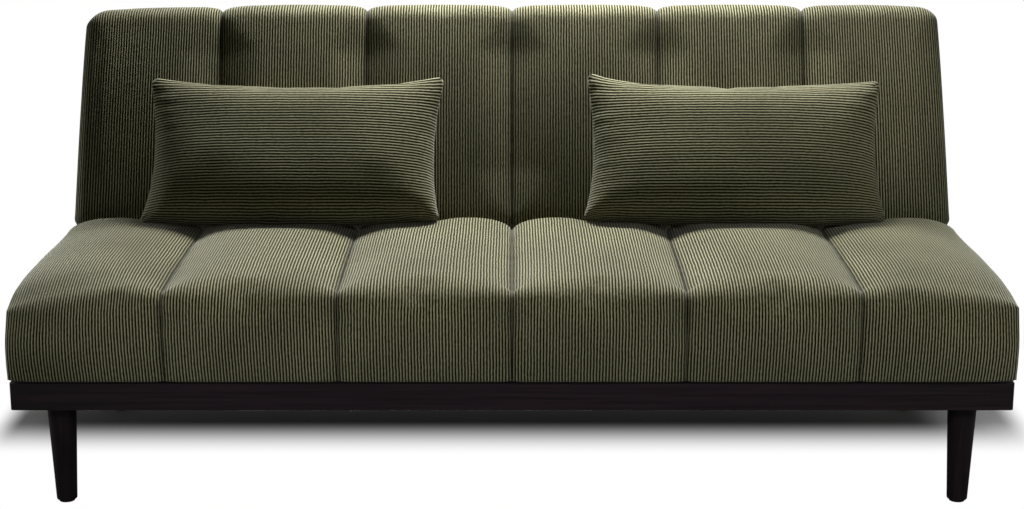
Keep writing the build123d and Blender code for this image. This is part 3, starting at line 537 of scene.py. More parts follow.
def buildCushion(name, sides, columns, seams, dropAt, place, capBulge):
    # sides: four runs of the outline, front up, top back, rear down, underside forward
    runs = [np.array(s) for s in sides]
    loop = np.concatenate([r[:-1] for r in runs])
    count, wide = len(loop), len(columns)
    ring = np.concatenate([loop, loop[:1]])
    along = np.concatenate([[0], np.cumsum(np.linalg.norm(np.diff(ring, axis=0), axis=1))])
    tangent = np.roll(loop, -1, axis=0) - np.roll(loop, 1, axis=0)
    tangent /= np.linalg.norm(tangent, axis=1)[:, None]
    outward = np.stack([-tangent[:, 1], tangent[:, 0]], 1)
    starts = np.cumsum([0] + [len(r) - 1 for r in runs])
    flat = loop[None] - outward[None] * dropAt(columns, along[:-1], starts)[:, :, None]
    share = np.linspace(0, 1, count - starts[3] + 1)[None, :-1, None]
    flat[:, starts[3]:] = flat[:, starts[3], None] * (1 - share) + flat[:, 0, None] * share
    solid = np.concatenate([np.broadcast_to(columns[:, None, None], (wide, count, 1)), flat], 2)
    verts = list(solid.reshape(-1, 3))
    faces, corners = [], []

    # cloth coordinates run from the middle of each channel, so ribs stay straight and meet at seams
    channel = np.searchsorted(seams, (columns[:-1] + columns[1:]) / 2)
    across = np.zeros((wide - 1, count, 2))
    for c in range(len(seams) + 1):
        mine = np.nonzero(channel == c)[0]
        first, last = mine[0], mine[-1] + 1
        step = np.linalg.norm(np.diff(solid[first:last + 1], axis=0), axis=2)
        run = np.concatenate([np.zeros((1, count)), np.cumsum(step, axis=0)])
        half = (first + last) // 2 - first
        run = run - run[half] + columns[first + half]
        across[mine, :, 0], across[mine, :, 1] = run[:-1], run[1:]
    for i in range(wide - 1):
        for j in range(count):
            k = (j + 1) % count
            faces.append((i * count + j, (i + 1) * count + j, (i + 1) * count + k, i * count + k))
            left, right = across[i, :, 0], across[i, :, 1]
            corners += [(left[j], along[j]), (right[j], along[j])]
            corners += [(right[k], along[j + 1]), (left[k], along[j + 1])]

    for i, sign in ((0, -1), (wide - 1, 1)):
        closed = np.concatenate([flat[i], flat[i, :1]])
        grid = patchGrid(*[closed[starts[n]:starts[n + 1] + 1] for n in range(4)])
        deep, tall = grid.shape[:2]
        index = np.zeros((deep, tall), int)
        for a in range(deep):
            for b in range(tall):
                if a == 0:
                    index[a, b] = i * count + b
                elif b == tall - 1:
                    index[a, b] = i * count + starts[1] + a
                elif a == deep - 1:
                    index[a, b] = i * count + starts[2] + (tall - 1 - b)
                elif b == 0:
                    index[a, b] = i * count + (starts[3] + (deep - 1 - a)) % count
                else:
                    swell = math.sin(math.pi * a / (deep - 1)) * math.sin(math.pi * b / (tall - 1))
                    index[a, b] = len(verts)
                    verts.append(np.array((columns[i] + sign * capBulge * swell ** 0.6, *grid[a, b])))
        for a in range(deep - 1):
            for b in range(tall - 1):
                quad = [(a, b), (a + 1, b), (a + 1, b + 1), (a, b + 1)][::sign * -1]
                faces.append(tuple(int(index[q]) for q in quad))
                corners += [tuple(grid[q]) for q in quad]
    rest = np.array(verts)
    piece = clothMesh(name, place(rest), faces, corners)
    return piece, rest, {"count": count, "wide": wide, "starts": starts}


def meshPoints(mesh):
    co = np.zeros(len(mesh.vertices) * 3, np.float32)
    mesh.vertices.foreach_get("co", co)
    return co.reshape(-1, 3).astype(float)


def meshNormals(mesh):
    vec = np.zeros(len(mesh.vertices) * 3, np.float32)
    mesh.vertex_normals.foreach_get("vector", vec)
    return vec.reshape(-1, 3).astype(float)


def setPoints(piece, points):
    piece.data.vertices.foreach_set("co", np.asarray(points, np.float32).ravel())
    piece.data.update()


def puff(piece, pinned, settings):
    # Cloth with inner pressure; the move is capped and written back to the mesh
    before = meshPoints(piece.data)
    group = piece.vertex_groups.new(name="held")
    group.add([int(v) for v in np.nonzero(pinned)[0]], 1.0, "REPLACE")
    cloth = piece.modifiers.new("puff", "CLOTH")
    fabric = cloth.settings
    fabric.quality = 6
    fabric.mass = settings["mass"]
    fabric.tension_stiffness = fabric.compression_stiffness = settings["stretch"]
    fabric.shear_stiffness = settings["shear"]
    fabric.bending_stiffness = settings["bend"]
    fabric.shrink_min = settings["spare"]
    fabric.air_damping = settings["air"]
    fabric.use_pressure = True
    fabric.uniform_pressure_force = settings["pressure"]
    fabric.effector_weights.gravity = 0.0
    fabric.vertex_group_mass = "held"
    cloth.collision_settings.use_collision = False
    cloth.point_cache.frame_end = settings["frames"]
    for number in range(1, settings["frames"] + 1):
        scene.frame_set(number)
        after = meshPoints(piece.evaluated_get(bpy.context.evaluated_depsgraph_get()).data)
        if np.ptp(after[:, 2]) > settings["stopAt"]:
            break
    piece.modifiers.remove(cloth)
    piece.vertex_groups.remove(group)
    scene.frame_set(1)
    move = after - before
    size = np.linalg.norm(move, axis=1)
    limit = settings["cap"]
    share = np.where(size > 1e-9, limit * np.tanh(size / limit) / np.maximum(size, 1e-9), 0)
    setPoints(piece, before + move * share[:, None])
    print(piece.name, "puffed in", number, "steps, most", round(float(size.max()) * 1000, 1), "mm")


def bakeModifiers(piece):
    finer = bpy.data.meshes.new_from_object(piece.evaluated_get(bpy.context.evaluated_depsgraph_get()))
    old = piece.data
    piece.modifiers.clear()
    piece.data = finer
    bpy.data.meshes.remove(old)
    finer.name = piece.name


def paintSeamShade(piece, distance):
    # 1 in the seam, fading over a few mm; painted shade darkens the cloth there
    near = np.exp(-distance / sewing["shadeFade"]).astype(np.float32)
    piece.data.attributes.new("paintedSeamShade", "FLOAT", "POINT").data.foreach_set("value", near)


def refine(piece):
    smooth = piece.modifiers.new("smooth", "SUBSURF")
    smooth.levels = smooth.render_levels = 1
    smooth.uv_smooth = "PRESERVE_BOUNDARIES"
    bakeModifiers(piece)


def heldPoints(rest, grid, columns, seams, firstRow, lastRow):
    # the sewn seams, the ends and the rows that rest on the frame
    held = np.zeros(len(rest), bool)
    ring = np.zeros(grid["count"], bool)
    ring[np.arange(firstRow, lastRow + 1) % grid["count"]] = True
    onSeam = toNearest(columns, seams) < 1e-4
    held[:grid["wide"] * grid["count"]] = (onSeam[:, None] | ring[None]).ravel()
    return held | (np.abs(rest[:, 0]) > columns[-1] - sewing["endHeld"])


def pucker(points, normals, distance, depth, size):
    # small gathers where the cloth is drawn into a seam
    rate = sewing["gatherRate"]
    wave = np.array([noise.noise((p[0] * rate, p[1] / size, p[2] / size)) for p in points])
    return points + normals * (depth * np.exp(-distance / sewing["gatherFade"]) * wave)[:, None]


def seamLines(piece, grid, columns, seams, lastRow):
    points = meshPoints(piece.data)
    lines = []
    for seam in seams:
        i = int(np.argmin(np.abs(columns - seam)))
        lines.append(points[i * grid["count"]:i * grid["count"] + lastRow + 1])
    return lines


def makeCushion(name, setup, sides, columns, seams, dropAt, place, settle):
    piece, rest, grid = buildCushion(name, sides, columns, seams, dropAt, place, setup["endSwell"])
    starts = grid["starts"]
    run, row = setup["heldFrom"]
    rows = (starts[run] + row, grid["count"] + setup["heldTo"])
    puff(piece, heldPoints(rest, grid, columns, seams, *rows), setup["cloth"])
    settle(piece)
    threads = seamLines(piece, grid, columns, seams, starts[2] + setup["sewnTo"])
    paintSeamShade(piece, toNearest(rest[:, 0], seams))
    refine(piece)
    piece.data.materials.append(oliveCorduroy)
    print(name, "ready,", len(piece.data.polygons), "faces")
    return piece, threads


# loose pillows: sizes first, because the seat is pressed where they stand

pillow = {
    "width": 0.640,
    "height": 0.306,
    "thick": 0.120,
    "cutWidth": 0.660,  # flat cover before it is filled
    "cutHeight": 0.326,
    "cell": 0.008,
    "centreU": 0.1600,
    "centreN": 0.1000,
    "cornerRound": 0.022,  # the cut corners are rounded off
    "ribBow": {"left": (0.011, 0.014), "right": (0.011, 0.021)},  # ribs fall this far towards the two ends
    "rearFlat": 0.0590,  # flattened this far behind its middle, against the back
    "offset": 0.465,
    "lean": {"left": 0.010, "right": 0.006},  # both slump a little to the right
    "topIn": 0.005,  # narrower above on each side
    "sideIn": 0.017,  # the sides pull in between the corners
    "topSag": 0.003,
    "lowSag": 0.014,  # the lower edge rests on the seat
    "slump": {"left": 0.023, "right": 0.015},  # the filling sinks, so the front leans back more than the sofa
    "lift": {"left": (0.004, 0.008), "right": (0.018, 0.004)},  # ears at the upper corners, left and right
    "earReach": 14,  # the higher, the shorter the ears
    "foot": {"left": (0.015, 0.015), "right": (0.020, 0.007)},  # lower corners spread out, left and right
    "gather": 0.0040,
    "gatherSize": 0.014,
    "gatherReach": 0.028,
    "startSwell": 0.022,  # the cover before it is filled, with its unevenness and how many bumps a metre
    "uneven": 0.0022,
    "bumps": 14,
    "soften": 10,  # rounds that even out the ridges towards the corners
    "fullness": 0.95,  # below 1 the front stands steeper at its edges
    "cloth": {
        "mass": 0.3,
        "stretch": 15.0,
        "shear": 3.0,
        "bend": 0.05,
        "spare": -0.01,
        "air": 4.0,
        "pressure": 1.2,
        "frames": 40,
        "stopAt": 0.094,
        "cap": 0.2,
    },
}


# seat cushion

seatLow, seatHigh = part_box("seat_cover")
seat = {
    "pitch": 0.328,
    "hemIn": 0.020,  # the hem stands this far behind the fullest point
    "fullAt": 0.098,
    "frontRound": 0.034,
    "frontFall": 0.008,  # the top slopes down this far before it turns
    "fallFrom": (0.24, 0.42),
    "topFrom": (0.34, 0.42),  # heights between which the front turns into the top
    "cornerFall": (0.044, 0.024),  # the front corners are rounder than that, left and right
    "cornerReach": 0.085,
    "cornerFrom": (0.64, 0.95),
    "cornerShare": 0.7,  # they go back and down alike
    "rearRound": 0.030,
    "endRound": (0.060, 0.190, 0.120),  # at the hem, the front edge and behind
    "crestLift": 0.008,  # the channels stand up behind, where no pillow presses them
    "crestFrom": (-0.04, 0.10),
    "crestRound": 0.085,
    "pillowFloor": 0.0020,  # how far above the CAD top a pillow stands
    "pillowFade": 0.03,
    "pillowFrom": (-0.02, 0.04),
    "pinch": 0.0035,  # the seam itself is drawn in
    "tuckFrom": 0.80,  # the ends tuck in from here, at the hem and behind
    "tuckOver": 0.155,
    "hemTuck": 0.002,
    "rearTuck": 0.012,
    "rearFrom": (-0.10, 0.12),
    "endSwell": 0.004,
    "heldFrom": (2, 4),  # run of the outline and row in it, from where the cover rests on the frame
    "heldTo": 1,
    "sewnTo": 2,  # the stitches end this many rows down the rear
    "gather": 0.0020,
    "gatherSize": 0.030,
    "gatherFrom": (0.01, 0.05),  # above the hem
    "cloth": {**foamCloth, "cap": 0.028},
}
seatSeams = np.array([-2, -1, 0, 1, 2]) * seat["pitch"]
seatColumns = channelColumns(seatSeams, seatHigh.x)


def seatSides():
    front, rear, low, top = seatLow.y, seatHigh.y, seatLow.z, seatHigh.z
    full = seat["fullAt"]
    r, q = seat["frontRound"], seat["rearRound"]
    lower = [(front + seat["hemIn"] * (1 - h) ** 2, low + full * h) for h in np.linspace(0, 1, 14)]
    frontSide = lower + arcPoints((front + r, top - r), r, 180, 135)
    topSide = arcPoints((front + r, top - r), r, 135, 90) + arcPoints((rear - q, top - q), q, 90, 45)
    rearSide = arcPoints((rear - q, top - q), q, 45, 0) + [(rear, low)]
    under = [(rear, low), (front + seat["hemIn"], low)]
    return [resample(frontSide, 18), resample(topSide, 48), resample(rearSide, 18), resample(under, 48)]


def seatDrop(columns, along, starts):
    # how far, in mm, the pad starts inside its full outline: at a seam, at an end, and all over
    total = along[starts[2]]
    marks = [0, 0.05, 0.12, 0.19, 0.25, 0.34, 0.55, total - 0.05, total, total + 0.10, along[-1]]
    depth = np.interp(along, marks, [3, 5, 7, 9, 10, 10, 11, 17, 20, 10, 0]) / 1000
    width = np.interp(along, marks, [26, 34, 42, 52, 62, 72, 78, 80, 80, 50, 50]) / 1000
    endDepth = np.interp(along, marks, [6, 18, 28, 36, 40, 42, 42, 38, 32, 16, 0]) / 1000
    slackMarks = [0, 0.03, 0.12, 0.17, 0.215, 0.26, 0.36, total - 0.10, total, total + 0.05]
    slack = np.interp(along, slackMarks, [0, 3, 5, 4, 2, 3, 5, 5, 2, 0]) / 1000
    edge = seatHigh.x - np.abs(columns)
    away = toNearest(columns, seatSeams)[:, None]
    drop = archDrop(away, depth[None], width[None])
    drawn = np.interp(along, marks[:3], [0, 0.5, 1])
    drop += seat["pinch"] * np.exp(-away / sewing["pinchFade"]) * drawn[None]
    endWidth = np.interp(along, [0.08, 0.19, 0.40, total], [*seat["endRound"], seat["endRound"][2]])
    drop += archDrop(edge[:, None], endDepth[None], endWidth[None])
    drop += slack[None] * np.clip(edge / sewing["endFade"], 0, 1)[:, None]
    drop[:, starts[3] + 1:] = 0
    return drop


def seatPlace(points):
    # the ends tuck in a little towards the hem and the rear corners
    moved = points.copy()
    rise = np.clip((points[:, 2] - seatLow.z) / seat["fullAt"], 0, 1)
    share = np.clip((np.abs(points[:, 0]) - seat["tuckFrom"]) / seat["tuckOver"], 0, 1)
    inward = seat["hemTuck"] * (1 - rise) ** 2
    inward += seat["rearTuck"] * smoothStep(points[:, 1], *seat["rearFrom"])
    moved[:, 0] -= np.sign(points[:, 0]) * inward * share
    return moved


def restSeat(piece):
    points, normals = meshPoints(piece.data), meshNormals(piece.data)
    x, y, z = points.T
    toSeam = toNearest(x, [*seatSeams, -seatHigh.x, seatHigh.x])
    arch = np.sqrt(np.maximum(1 - np.clip(1 - toSeam / seat["crestRound"], 0, 1) ** 2, 0))
    half = pillow["width"] / 2
    off = np.minimum(np.abs(x - pillow["offset"]), np.abs(x + pillow["offset"])) - half
    free = smoothStep(off, -seat["pillowFade"], seat["pillowFade"])
    behind = smoothStep(y, *seat["crestFrom"]) * smoothStep(z, *seat["topFrom"])
    points[:, 2] += seat["crestLift"] * behind * arch * free
    points[:, 2] -= seat["frontFall"] * smoothStep(-y, *seat["fallFrom"]) * smoothStep(z, *seat["topFrom"])
    fromEdge = ((y - seatLow.y) ** 2 + (z - seatHigh.z) ** 2) / seat["cornerReach"] ** 2
    fall = np.where(x < 0, *seat["cornerFall"]) * smoothStep(np.abs(x), *seat["cornerFrom"])
    fall *= np.exp(-fromEdge)
    points[:, 1] += seat["cornerShare"] * fall
    points[:, 2] -= seat["cornerShare"] * fall
    ceiling = seatHigh.z + seat["pillowFloor"]
    under = (1 - free) * smoothStep(y, *seat["pillowFrom"])
    over = np.maximum(points[:, 2] - ceiling, 0)
    points[:, 2] -= over * under
    start, end = seat["gatherFrom"]
    depth = seat["gather"] * smoothStep(z, seatLow.z + start, seatLow.z + end)
    setPoints(piece, pucker(points, normals, toNearest(x, seatSeams), depth, seat["gatherSize"]))


seatParts = (seatSides(), seatColumns, seatSeams, seatDrop, seatPlace, restSeat)
seatCushion, seatThreads = makeCushion("seatCushion", seat, *seatParts)
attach(seatCushion, "base")
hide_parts("seat_cover", "seat_foam")


# back cushion, in the leaning plane of the backrest: u up the back, n out of its front

hinge = next(j for j in frame["joints"] if j["name"] == "back_recline")
hingePos = hinge["pos_m"]
back = {
    "lean": math.radians(21),
    "pitch": 0.316,
    "halfWidth": 0.944,
    "taper": 0.016,
    "length": 0.496,
    "front": 0.039,
    "rear": -0.101,
    "edgeRound": 0.034,
    "rearRound": 0.008,
    "endRound": 0.040,
    "slack": 0.009,
    "crown": 0.012,  # the front is fullest in the middle and falls this far to its upper and lower edge
    "crownFrom": (-0.02, 0.02),
    "pocket": 0.026,  # room around the hinge eye
    "pocketInner": 0.889,
    "pocketOuter": 0.925,
    "pocketTop": 0.03,
    "cornerFall": (0.024, 0.008),  # left and right upper corners
    "cornerFrom": (0.880, 0.40),  # across and up the back
    "cornerWide": 0.05,
    "droop": 0.008,  # the top edge sinks over the left end
    "droopFrom": (0.50, 0.88),
    "pinch": 0.003,
    "endSwell": 0.003,
    "heldFrom": (1, 10),
    "heldTo": 2,
    "sewnTo": 0,
    "gather": 0.0014,
    "gatherSize": 0.034,
    "gatherFrom": ((0.05, 0.10), (0.0, 0.02)),  # up the back and out of its front
    "cloth": {**foamCloth, "cap": 0.022},
}
backSeams = np.array([-2, -1, 0, 1, 2]) * back["pitch"]


def leanPlace(x, u, n):
    y = hingePos[1] + u * math.sin(back["lean"]) - n * math.cos(back["lean"])
    z = hingePos[2] + u * math.cos(back["lean"]) + n * math.sin(back["lean"])
    return np.stack([x, y, z], 1)


def leanRead(points):
    y, z = points[:, 1] - hingePos[1], points[:, 2] - hingePos[2]
    u = y * math.sin(back["lean"]) + z * math.cos(back["lean"])
    n = z * math.sin(back["lean"]) - y * math.cos(back["lean"])
    return points[:, 0].copy(), u, n


def backSides():
    front, rear, tip = -back["front"], -back["rear"], back["length"]
    r, q = back["edgeRound"], back["rearRound"]
    frontSide = arcPoints((front + r, r), r, 225, 180) + arcPoints((front + r, tip - r), r, 180, 135)
    topSide = arcPoints((front + r, tip - r), r, 135, 90) + arcPoints((rear - q, tip - q), q, 90, 45)
    rearSide = arcPoints((rear - q, tip - q), q, 45, 0) + arcPoints((rear - q, q), q, 0, -45)
    lowSide = arcPoints((rear - q, q), q, -45, -90) + arcPoints((front + r, r), r, 270, 225)
    return [resample(frontSide, 40), resample(topSide, 14), resample(rearSide, 40), resample(lowSide, 14)]


def backDrop(columns, along, starts):
    top, rear = along[starts[1]], along[starts[2]]
    marks = [0, 0.03, 0.10, 0.30, top - 0.04, top, rear - 0.03, rear + 0.02]
    depth = np.interp(along, marks, [7, 7, 6, 6, 8, 12, 9, 0]) / 1000
    width = np.interp(along, marks, [46, 50, 54, 56, 56, 56, 44, 40]) / 1000
    endDepth = np.interp(along, marks, [22, 28, 30, 30, 30, 28, 14, 0]) / 1000
    slackMarks = [0, 0.06, 0.12, top - 0.10, top - 0.03, top, top + 0.03, top + 0.031]
    slack = np.interp(along, slackMarks, [0, 0.4, 1, 1, 0, -0.4, -0.4, 0]) * back["slack"]
    edge = back["halfWidth"] - np.abs(columns)
    away = toNearest(columns, backSeams)[:, None]
    drop = archDrop(away, depth[None], width[None])
    drop += back["pinch"] * np.exp(-away / sewing["pinchFade"])
    drop += archDrop(edge[:, None], endDepth[None], back["endRound"])
    drop += slack[None] * np.clip(edge / sewing["endFade"], 0, 1)[:, None]
    drop[:, starts[2]:] = 0
    return drop


def backPlace(points):
    x, u, n = points[:, 0].copy(), points[:, 2].copy(), -points[:, 1].copy()
    inner = 2 * back["pitch"]
    share = np.clip((np.abs(x) - inner) / (back["halfWidth"] - inner), 0, 1)
    x -= np.sign(x) * share * back["taper"] * np.clip(u / back["length"], 0, 1)
    fromX, fromU = back["cornerFrom"]
    outer = np.clip((np.abs(x) - fromX) / back["cornerWide"], 0, 1) ** 2
    fall = np.where(x < 0, *back["cornerFall"])
    u -= fall * outer * np.clip((u - fromU) / (back["length"] - fromU), 0, 1) ** 2
    u -= back["droop"] * smoothStep(-x, *back["droopFrom"]) * np.clip(u / back["length"], 0, 1) ** 4
    wide = (np.abs(x) > back["pocketInner"]) & (np.abs(x) < back["pocketOuter"])
    roof = np.sqrt(np.maximum(back["pocket"] ** 2 - n ** 2, 0))
    inPocket = wide & (np.abs(n) < back["pocket"]) & (u < back["pocketTop"])
    u = np.where(inPocket, np.maximum(u, roof), u)
    return leanPlace(x, u, n)


def restBack(piece):
    points, normals = meshPoints(piece.data), meshNormals(piece.data)
    x, u, n = leanRead(points)
    upAt, outAt = back["gatherFrom"]
    depth = back["gather"] * smoothStep(u, *upAt) * smoothStep(n, *outAt)
    points = pucker(points, normals, toNearest(x, backSeams), depth, back["gatherSize"])
    x, u, n = leanRead(points)
    away = np.clip(2 * u / back["length"] - 1, -1, 1) ** 2
    n = np.minimum(n, back["front"]) - back["crown"] * away * smoothStep(n, *back["crownFrom"])
    setPoints(piece, leanPlace(x, u, n))


pocketOut, pocketIn = 0.0010, 0.0005  # columns just outside and inside each wall of the pocket
pocketWalls = [back["pocketInner"] - pocketOut, back["pocketInner"] + pocketIn]
pocketWalls += [back["pocketOuter"] - pocketIn, back["pocketOuter"] + pocketOut]
pocketEdges = [side * wall for side in (-1, 1) for wall in pocketWalls]
backColumns = channelColumns(backSeams, back["halfWidth"], pocketEdges)
backParts = (backSides(), backColumns, backSeams, backDrop, backPlace, restBack)
backCushion, backThreads = makeCushion("backCushion", back, *backParts)
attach(backCushion, "backrest")
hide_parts("back_cover", "back_foam")


# pillows

def roundCorner(x, y):
    # takes a square corner of the cut to a round one
    r = pillow["cornerRound"]
    dx = (abs(x) - pillow["cutWidth"] / 2) / r + 1
    dy = (abs(y) - pillow["cutHeight"] / 2) / r + 1
    if min(dx, dy) <= 0:
        return x, y
    less = r * (1 - max(dx, dy) / math.hypot(dx, dy))
    return x - math.copysign(dx * less, x), y - math.copysign(dy * less, y)


def sewnBag(name, side, label):
    wide = round(pillow["cutWidth"] / pillow["cell"])
    tall = round(pillow["cutHeight"] / pillow["cell"])
    points, place, flat, faces, rims = [], {}, [], [], set()
    for layer in (1, -1):
        for i in range(wide + 1):
            for k in range(tall + 1):
                rim = i in (0, wide) or k in (0, tall)
                if rim and layer == -1:
                    place[layer, i, k] = place[1, i, k]
                    continue
                a, b = i / wide, k / tall
                x, y = roundCorner((a - 0.5) * pillow["cutWidth"], (b - 0.5) * pillow["cutHeight"])
                z = pillow["startSwell"] * (16 * a * (1 - a) * b * (1 - b)) ** 0.5
                bump = (x * pillow["bumps"] + side * 7, y * pillow["bumps"], layer * 5.0)
                z += pillow["uneven"] * noise.noise(bump)
                place[layer, i, k] = len(points)
                if rim:
                    rims.add(len(points))
                points.append((x, y, 0 if rim else layer * z))
                bow = pillow["ribBow"][label][a > 0.5] * abs(2 * a - 1) ** 3
                flat.append((y + bow * (4 * b * (1 - b)) ** 0.7, x))
        for i in range(wide):
            for k in range(tall):
                quad = [place[layer, i + p, k + q] for p, q in ((0, 0), (1, 0), (1, 1), (0, 1))]
                faces.append(quad[::layer])
    piece = clothMesh(name, points, faces, [flat[v] for quad in faces for v in quad])
    return piece, np.array(flat)[:, ::-1], rims


def creaseRim(piece, rims, amount):
    # keeps the sewn edge thin when the cover is smoothed
    sharp = [amount if e.vertices[0] in rims and e.vertices[1] in rims else 0.0 for e in piece.data.edges]
    piece.data.attributes.new("crease_edge", "FLOAT", "EDGE").data.foreach_set("value", sharp)


def softenRidges(piece, points, rims):
    # each point off the sewn edge goes to the mean height of its neighbours
    ends = np.zeros(len(piece.data.edges) * 2, np.int32)
    piece.data.edges.foreach_get("vertices", ends)
    ends = ends.reshape(-1, 2)
    near = np.concatenate([ends, ends[:, ::-1]])
    count = np.bincount(near[:, 0], minlength=len(points))
    held = np.zeros(len(points), bool)
    held[list(rims)] = True
    for turn in range(pillow["soften"]):
        mean = np.bincount(near[:, 0], points[near[:, 1], 2], len(points)) / count
        points[:, 2] = np.where(held, points[:, 2], mean)


def layPillow(piece, flat, rims, side, label):
    points = meshPoints(piece.data)
    softenRidges(piece, points, rims)
    low, high = points.min(0), points.max(0)
    full = np.array([pillow["width"], pillow["height"], pillow["thick"]])
    points = (points - (low + high) / 2) / (high - low) * full
    ahead = np.clip(points[:, 2] / (full[2] / 2), 0, 1)
    points[:, 2] = np.where(points[:, 2] > 0, full[2] / 2 * ahead ** pillow["fullness"], points[:, 2])
    a, b = points[:, 0] / full[0] + 0.5, points[:, 1] / full[1] + 0.5
    atLeft, atRight = pillow["lift"][label]
    a, b = np.clip(a, 0, 1), np.clip(b, 0, 1)
    points[:, 2] += pillow["slump"][label] * (1 - 2 * b) * ahead * np.sqrt(4 * a * (1 - a))
    points[:, 1] += b ** 4 * (atLeft * (1 - a) ** pillow["earReach"] + atRight * a ** pillow["earReach"])
    middle = 4 * a * (1 - a)
    points[:, 1] -= middle * (pillow["lowSag"] * (1 - b) ** 3 + pillow["topSag"] * b ** 3)
    waist = pillow["sideIn"] * (4 * b * (1 - b)) ** 0.8 + pillow["topIn"] * b
    foot = np.where(a < 0.5, *pillow["foot"][label]) * (1 - b) ** 5
    points[:, 0] -= (waist - foot) * np.sign(a - 0.5) * np.abs(2 * a - 1) ** 3
    points[:, 0] += pillow["lean"][label] * b
    fromEnd = pillow["cutWidth"] / 2 - np.abs(flat[:, 0])
    folds = flat[:, 1] / pillow["gatherSize"]
    wave = np.array([noise.noise((f, side * 3.0, 2.0 + np.sign(x))) for f, x in zip(folds, flat[:, 0])])
    outward = np.sign(points[:, 2] + 1e-9)
    points[:, 2] += 2 * pillow["gather"] * wave * np.exp(-fromEnd / pillow["gatherReach"]) * outward
    points[:, 2] = np.maximum(points[:, 2], -pillow["rearFlat"])
    x = points[:, 0] + side * pillow["offset"]
    setPoints(piece, leanPlace(x, points[:, 1] + pillow["centreU"], points[:, 2] + pillow["centreN"]))


for side, label in ((-1, "left"), (1, "right")):
    cover, coverFlat, coverRims = sewnBag("pillow_" + label, side, label)
    puff(cover, np.zeros(len(cover.data.vertices), bool), pillow["cloth"])
    layPillow(cover, coverFlat, coverRims, side, label)
    creaseRim(cover, coverRims, 0.8)
    refine(cover)
    cover.data.materials.append(pillowCorduroy)
    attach(cover, "pillow_" + label)
    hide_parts("pillow_cover_" + label, "pillow_insert_" + label)
print("pillows ready")


# flat cloths: the panel that closes the back and the fleece under the base

panel = {
    "margin": 0.014,
    "tuck": 0.0020,
    "proud": 0.0045,
    "edgeFade": 0.010,  # it swells to that over this distance from its edge
    "edgeBand": 0.05,
    "thick": 0.0030,
    "cells": (72, 24),
    "stitchIn": 0.004,
    "stitchProud": 0.0014,
}
fleece = {
    "notchWide": 0.144,  # clear of the leg blocks
    "notchDeep": 0.074,
    "sag": 0.0055,
    "crumple": 0.25,  # share of the sag, and folds a metre
    "folds": 9,
    "thick": 0.0008,
    "cell": 0.024,
    "railAt": (-0.740, -0.328, 0.328, 0.740),
    "stapleIn": 0.02,
    "stapleProud": 0.0004,
}


def gridCloth(name, across, up, keep, place):
    # a flat grid of quads; keep tells which cells are cut, place puts a flat point in the room
    points, index, faces, corners = [], {}, [], []
    for i in range(len(across) - 1):
        for k in range(len(up) - 1):
            if not keep((across[i] + across[i + 1]) / 2, (up[k] + up[k + 1]) / 2):
                continue
            quad = [(i, k), (i + 1, k), (i + 1, k + 1), (i, k + 1)]
            for q in quad:
                if q not in index:
                    index[q] = len(points)
                    points.append((across[q[0]], up[q[1]]))
            faces.append([index[q] for q in quad])
            corners += [(across[p], up[q]) for p, q in quad]
    return clothMesh(name, place(np.array(points)), faces, corners)


def thicken(piece, thick):
    wall = piece.modifiers.new("wall", "SOLIDIFY")
    wall.thickness = thick
    wall.offset = -1.0
    bakeModifiers(piece)


def panelPlace(flat):
    x, u = flat.T
    narrow = 1 - back["taper"] / back["halfWidth"] * np.clip(u / back["length"], 0, 1)
    fromSide = panelHalf - np.abs(x)
    fromEnd = np.minimum(u - panel["margin"], back["length"] - panel["margin"] - u)
    swell = 1 - np.exp(-np.maximum(np.minimum(fromSide, fromEnd), 0) / panel["edgeFade"])
    return leanPlace(x * narrow, u, back["rear"] + panel["tuck"] - panel["proud"] * swell)


panelHalf = back["halfWidth"] - panel["margin"]
edgeSteps = np.array([0, 0.003, 0.008, 0.016, 0.030])
panelTop = back["length"] - panel["margin"]


def closeEnds(low, high, cells):
    # rows near both ends, where the panel is tucked in, and even ones between
    middle = np.linspace(low + panel["edgeBand"], high - panel["edgeBand"], cells)
    return np.concatenate([low + edgeSteps, middle, (high - edgeSteps)[::-1]])


panelX = closeEnds(-panelHalf, panelHalf, panel["cells"][0])
panelU = closeEnds(panel["margin"], panelTop, panel["cells"][1])
rearPanel = gridCloth("rearPanel", panelX[::-1], panelU, lambda x, u: True, panelPlace)
thicken(rearPanel, panel["thick"])
rearPanel.data.materials.append(oliveCorduroy)
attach(rearPanel, "backrest")
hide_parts("back_panel")

dustLow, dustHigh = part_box("dust_cloth")


def dustKeep(x, y):
    side = min(x - dustLow.x, dustHigh.x - x)
    end = min(y - dustLow.y, dustHigh.y - y)
    return side > fleece["notchWide"] or end > fleece["notchDeep"]


def dustPlace(flat):
    # the cloth hangs a little between the rails that it is stapled to
    x, y = flat.T
    stops = np.array([dustLow.x, *fleece["railAt"], dustHigh.x])
    bay = np.clip(np.searchsorted(stops, x) - 1, 0, len(stops) - 2)
    share = (x - stops[bay]) / (stops[bay + 1] - stops[bay])
    ends = np.clip((y - dustLow.y) / (dustHigh.y - dustLow.y), 0, 1)
    depth = np.sin(np.pi * np.clip(share, 0, 1)) * np.sqrt(np.abs(np.sin(np.pi * ends)))
    crumple = np.array([noise.noise((p, q, 4.0)) for p, q in flat * fleece["folds"]])
    return np.stack([x, y, dustHigh.z - fleece["sag"] * depth * (1 + fleece["crumple"] * crumple)], 1)


def cuts(low, high, inner, step):
    stops = [low, *sorted(inner), high]
    runs = [np.linspace(a, b, max(2, round((b - a) / step) + 1)) for a, b in zip(stops[:-1], stops[1:])]
    return np.unique(np.round(np.concatenate(runs), 6))


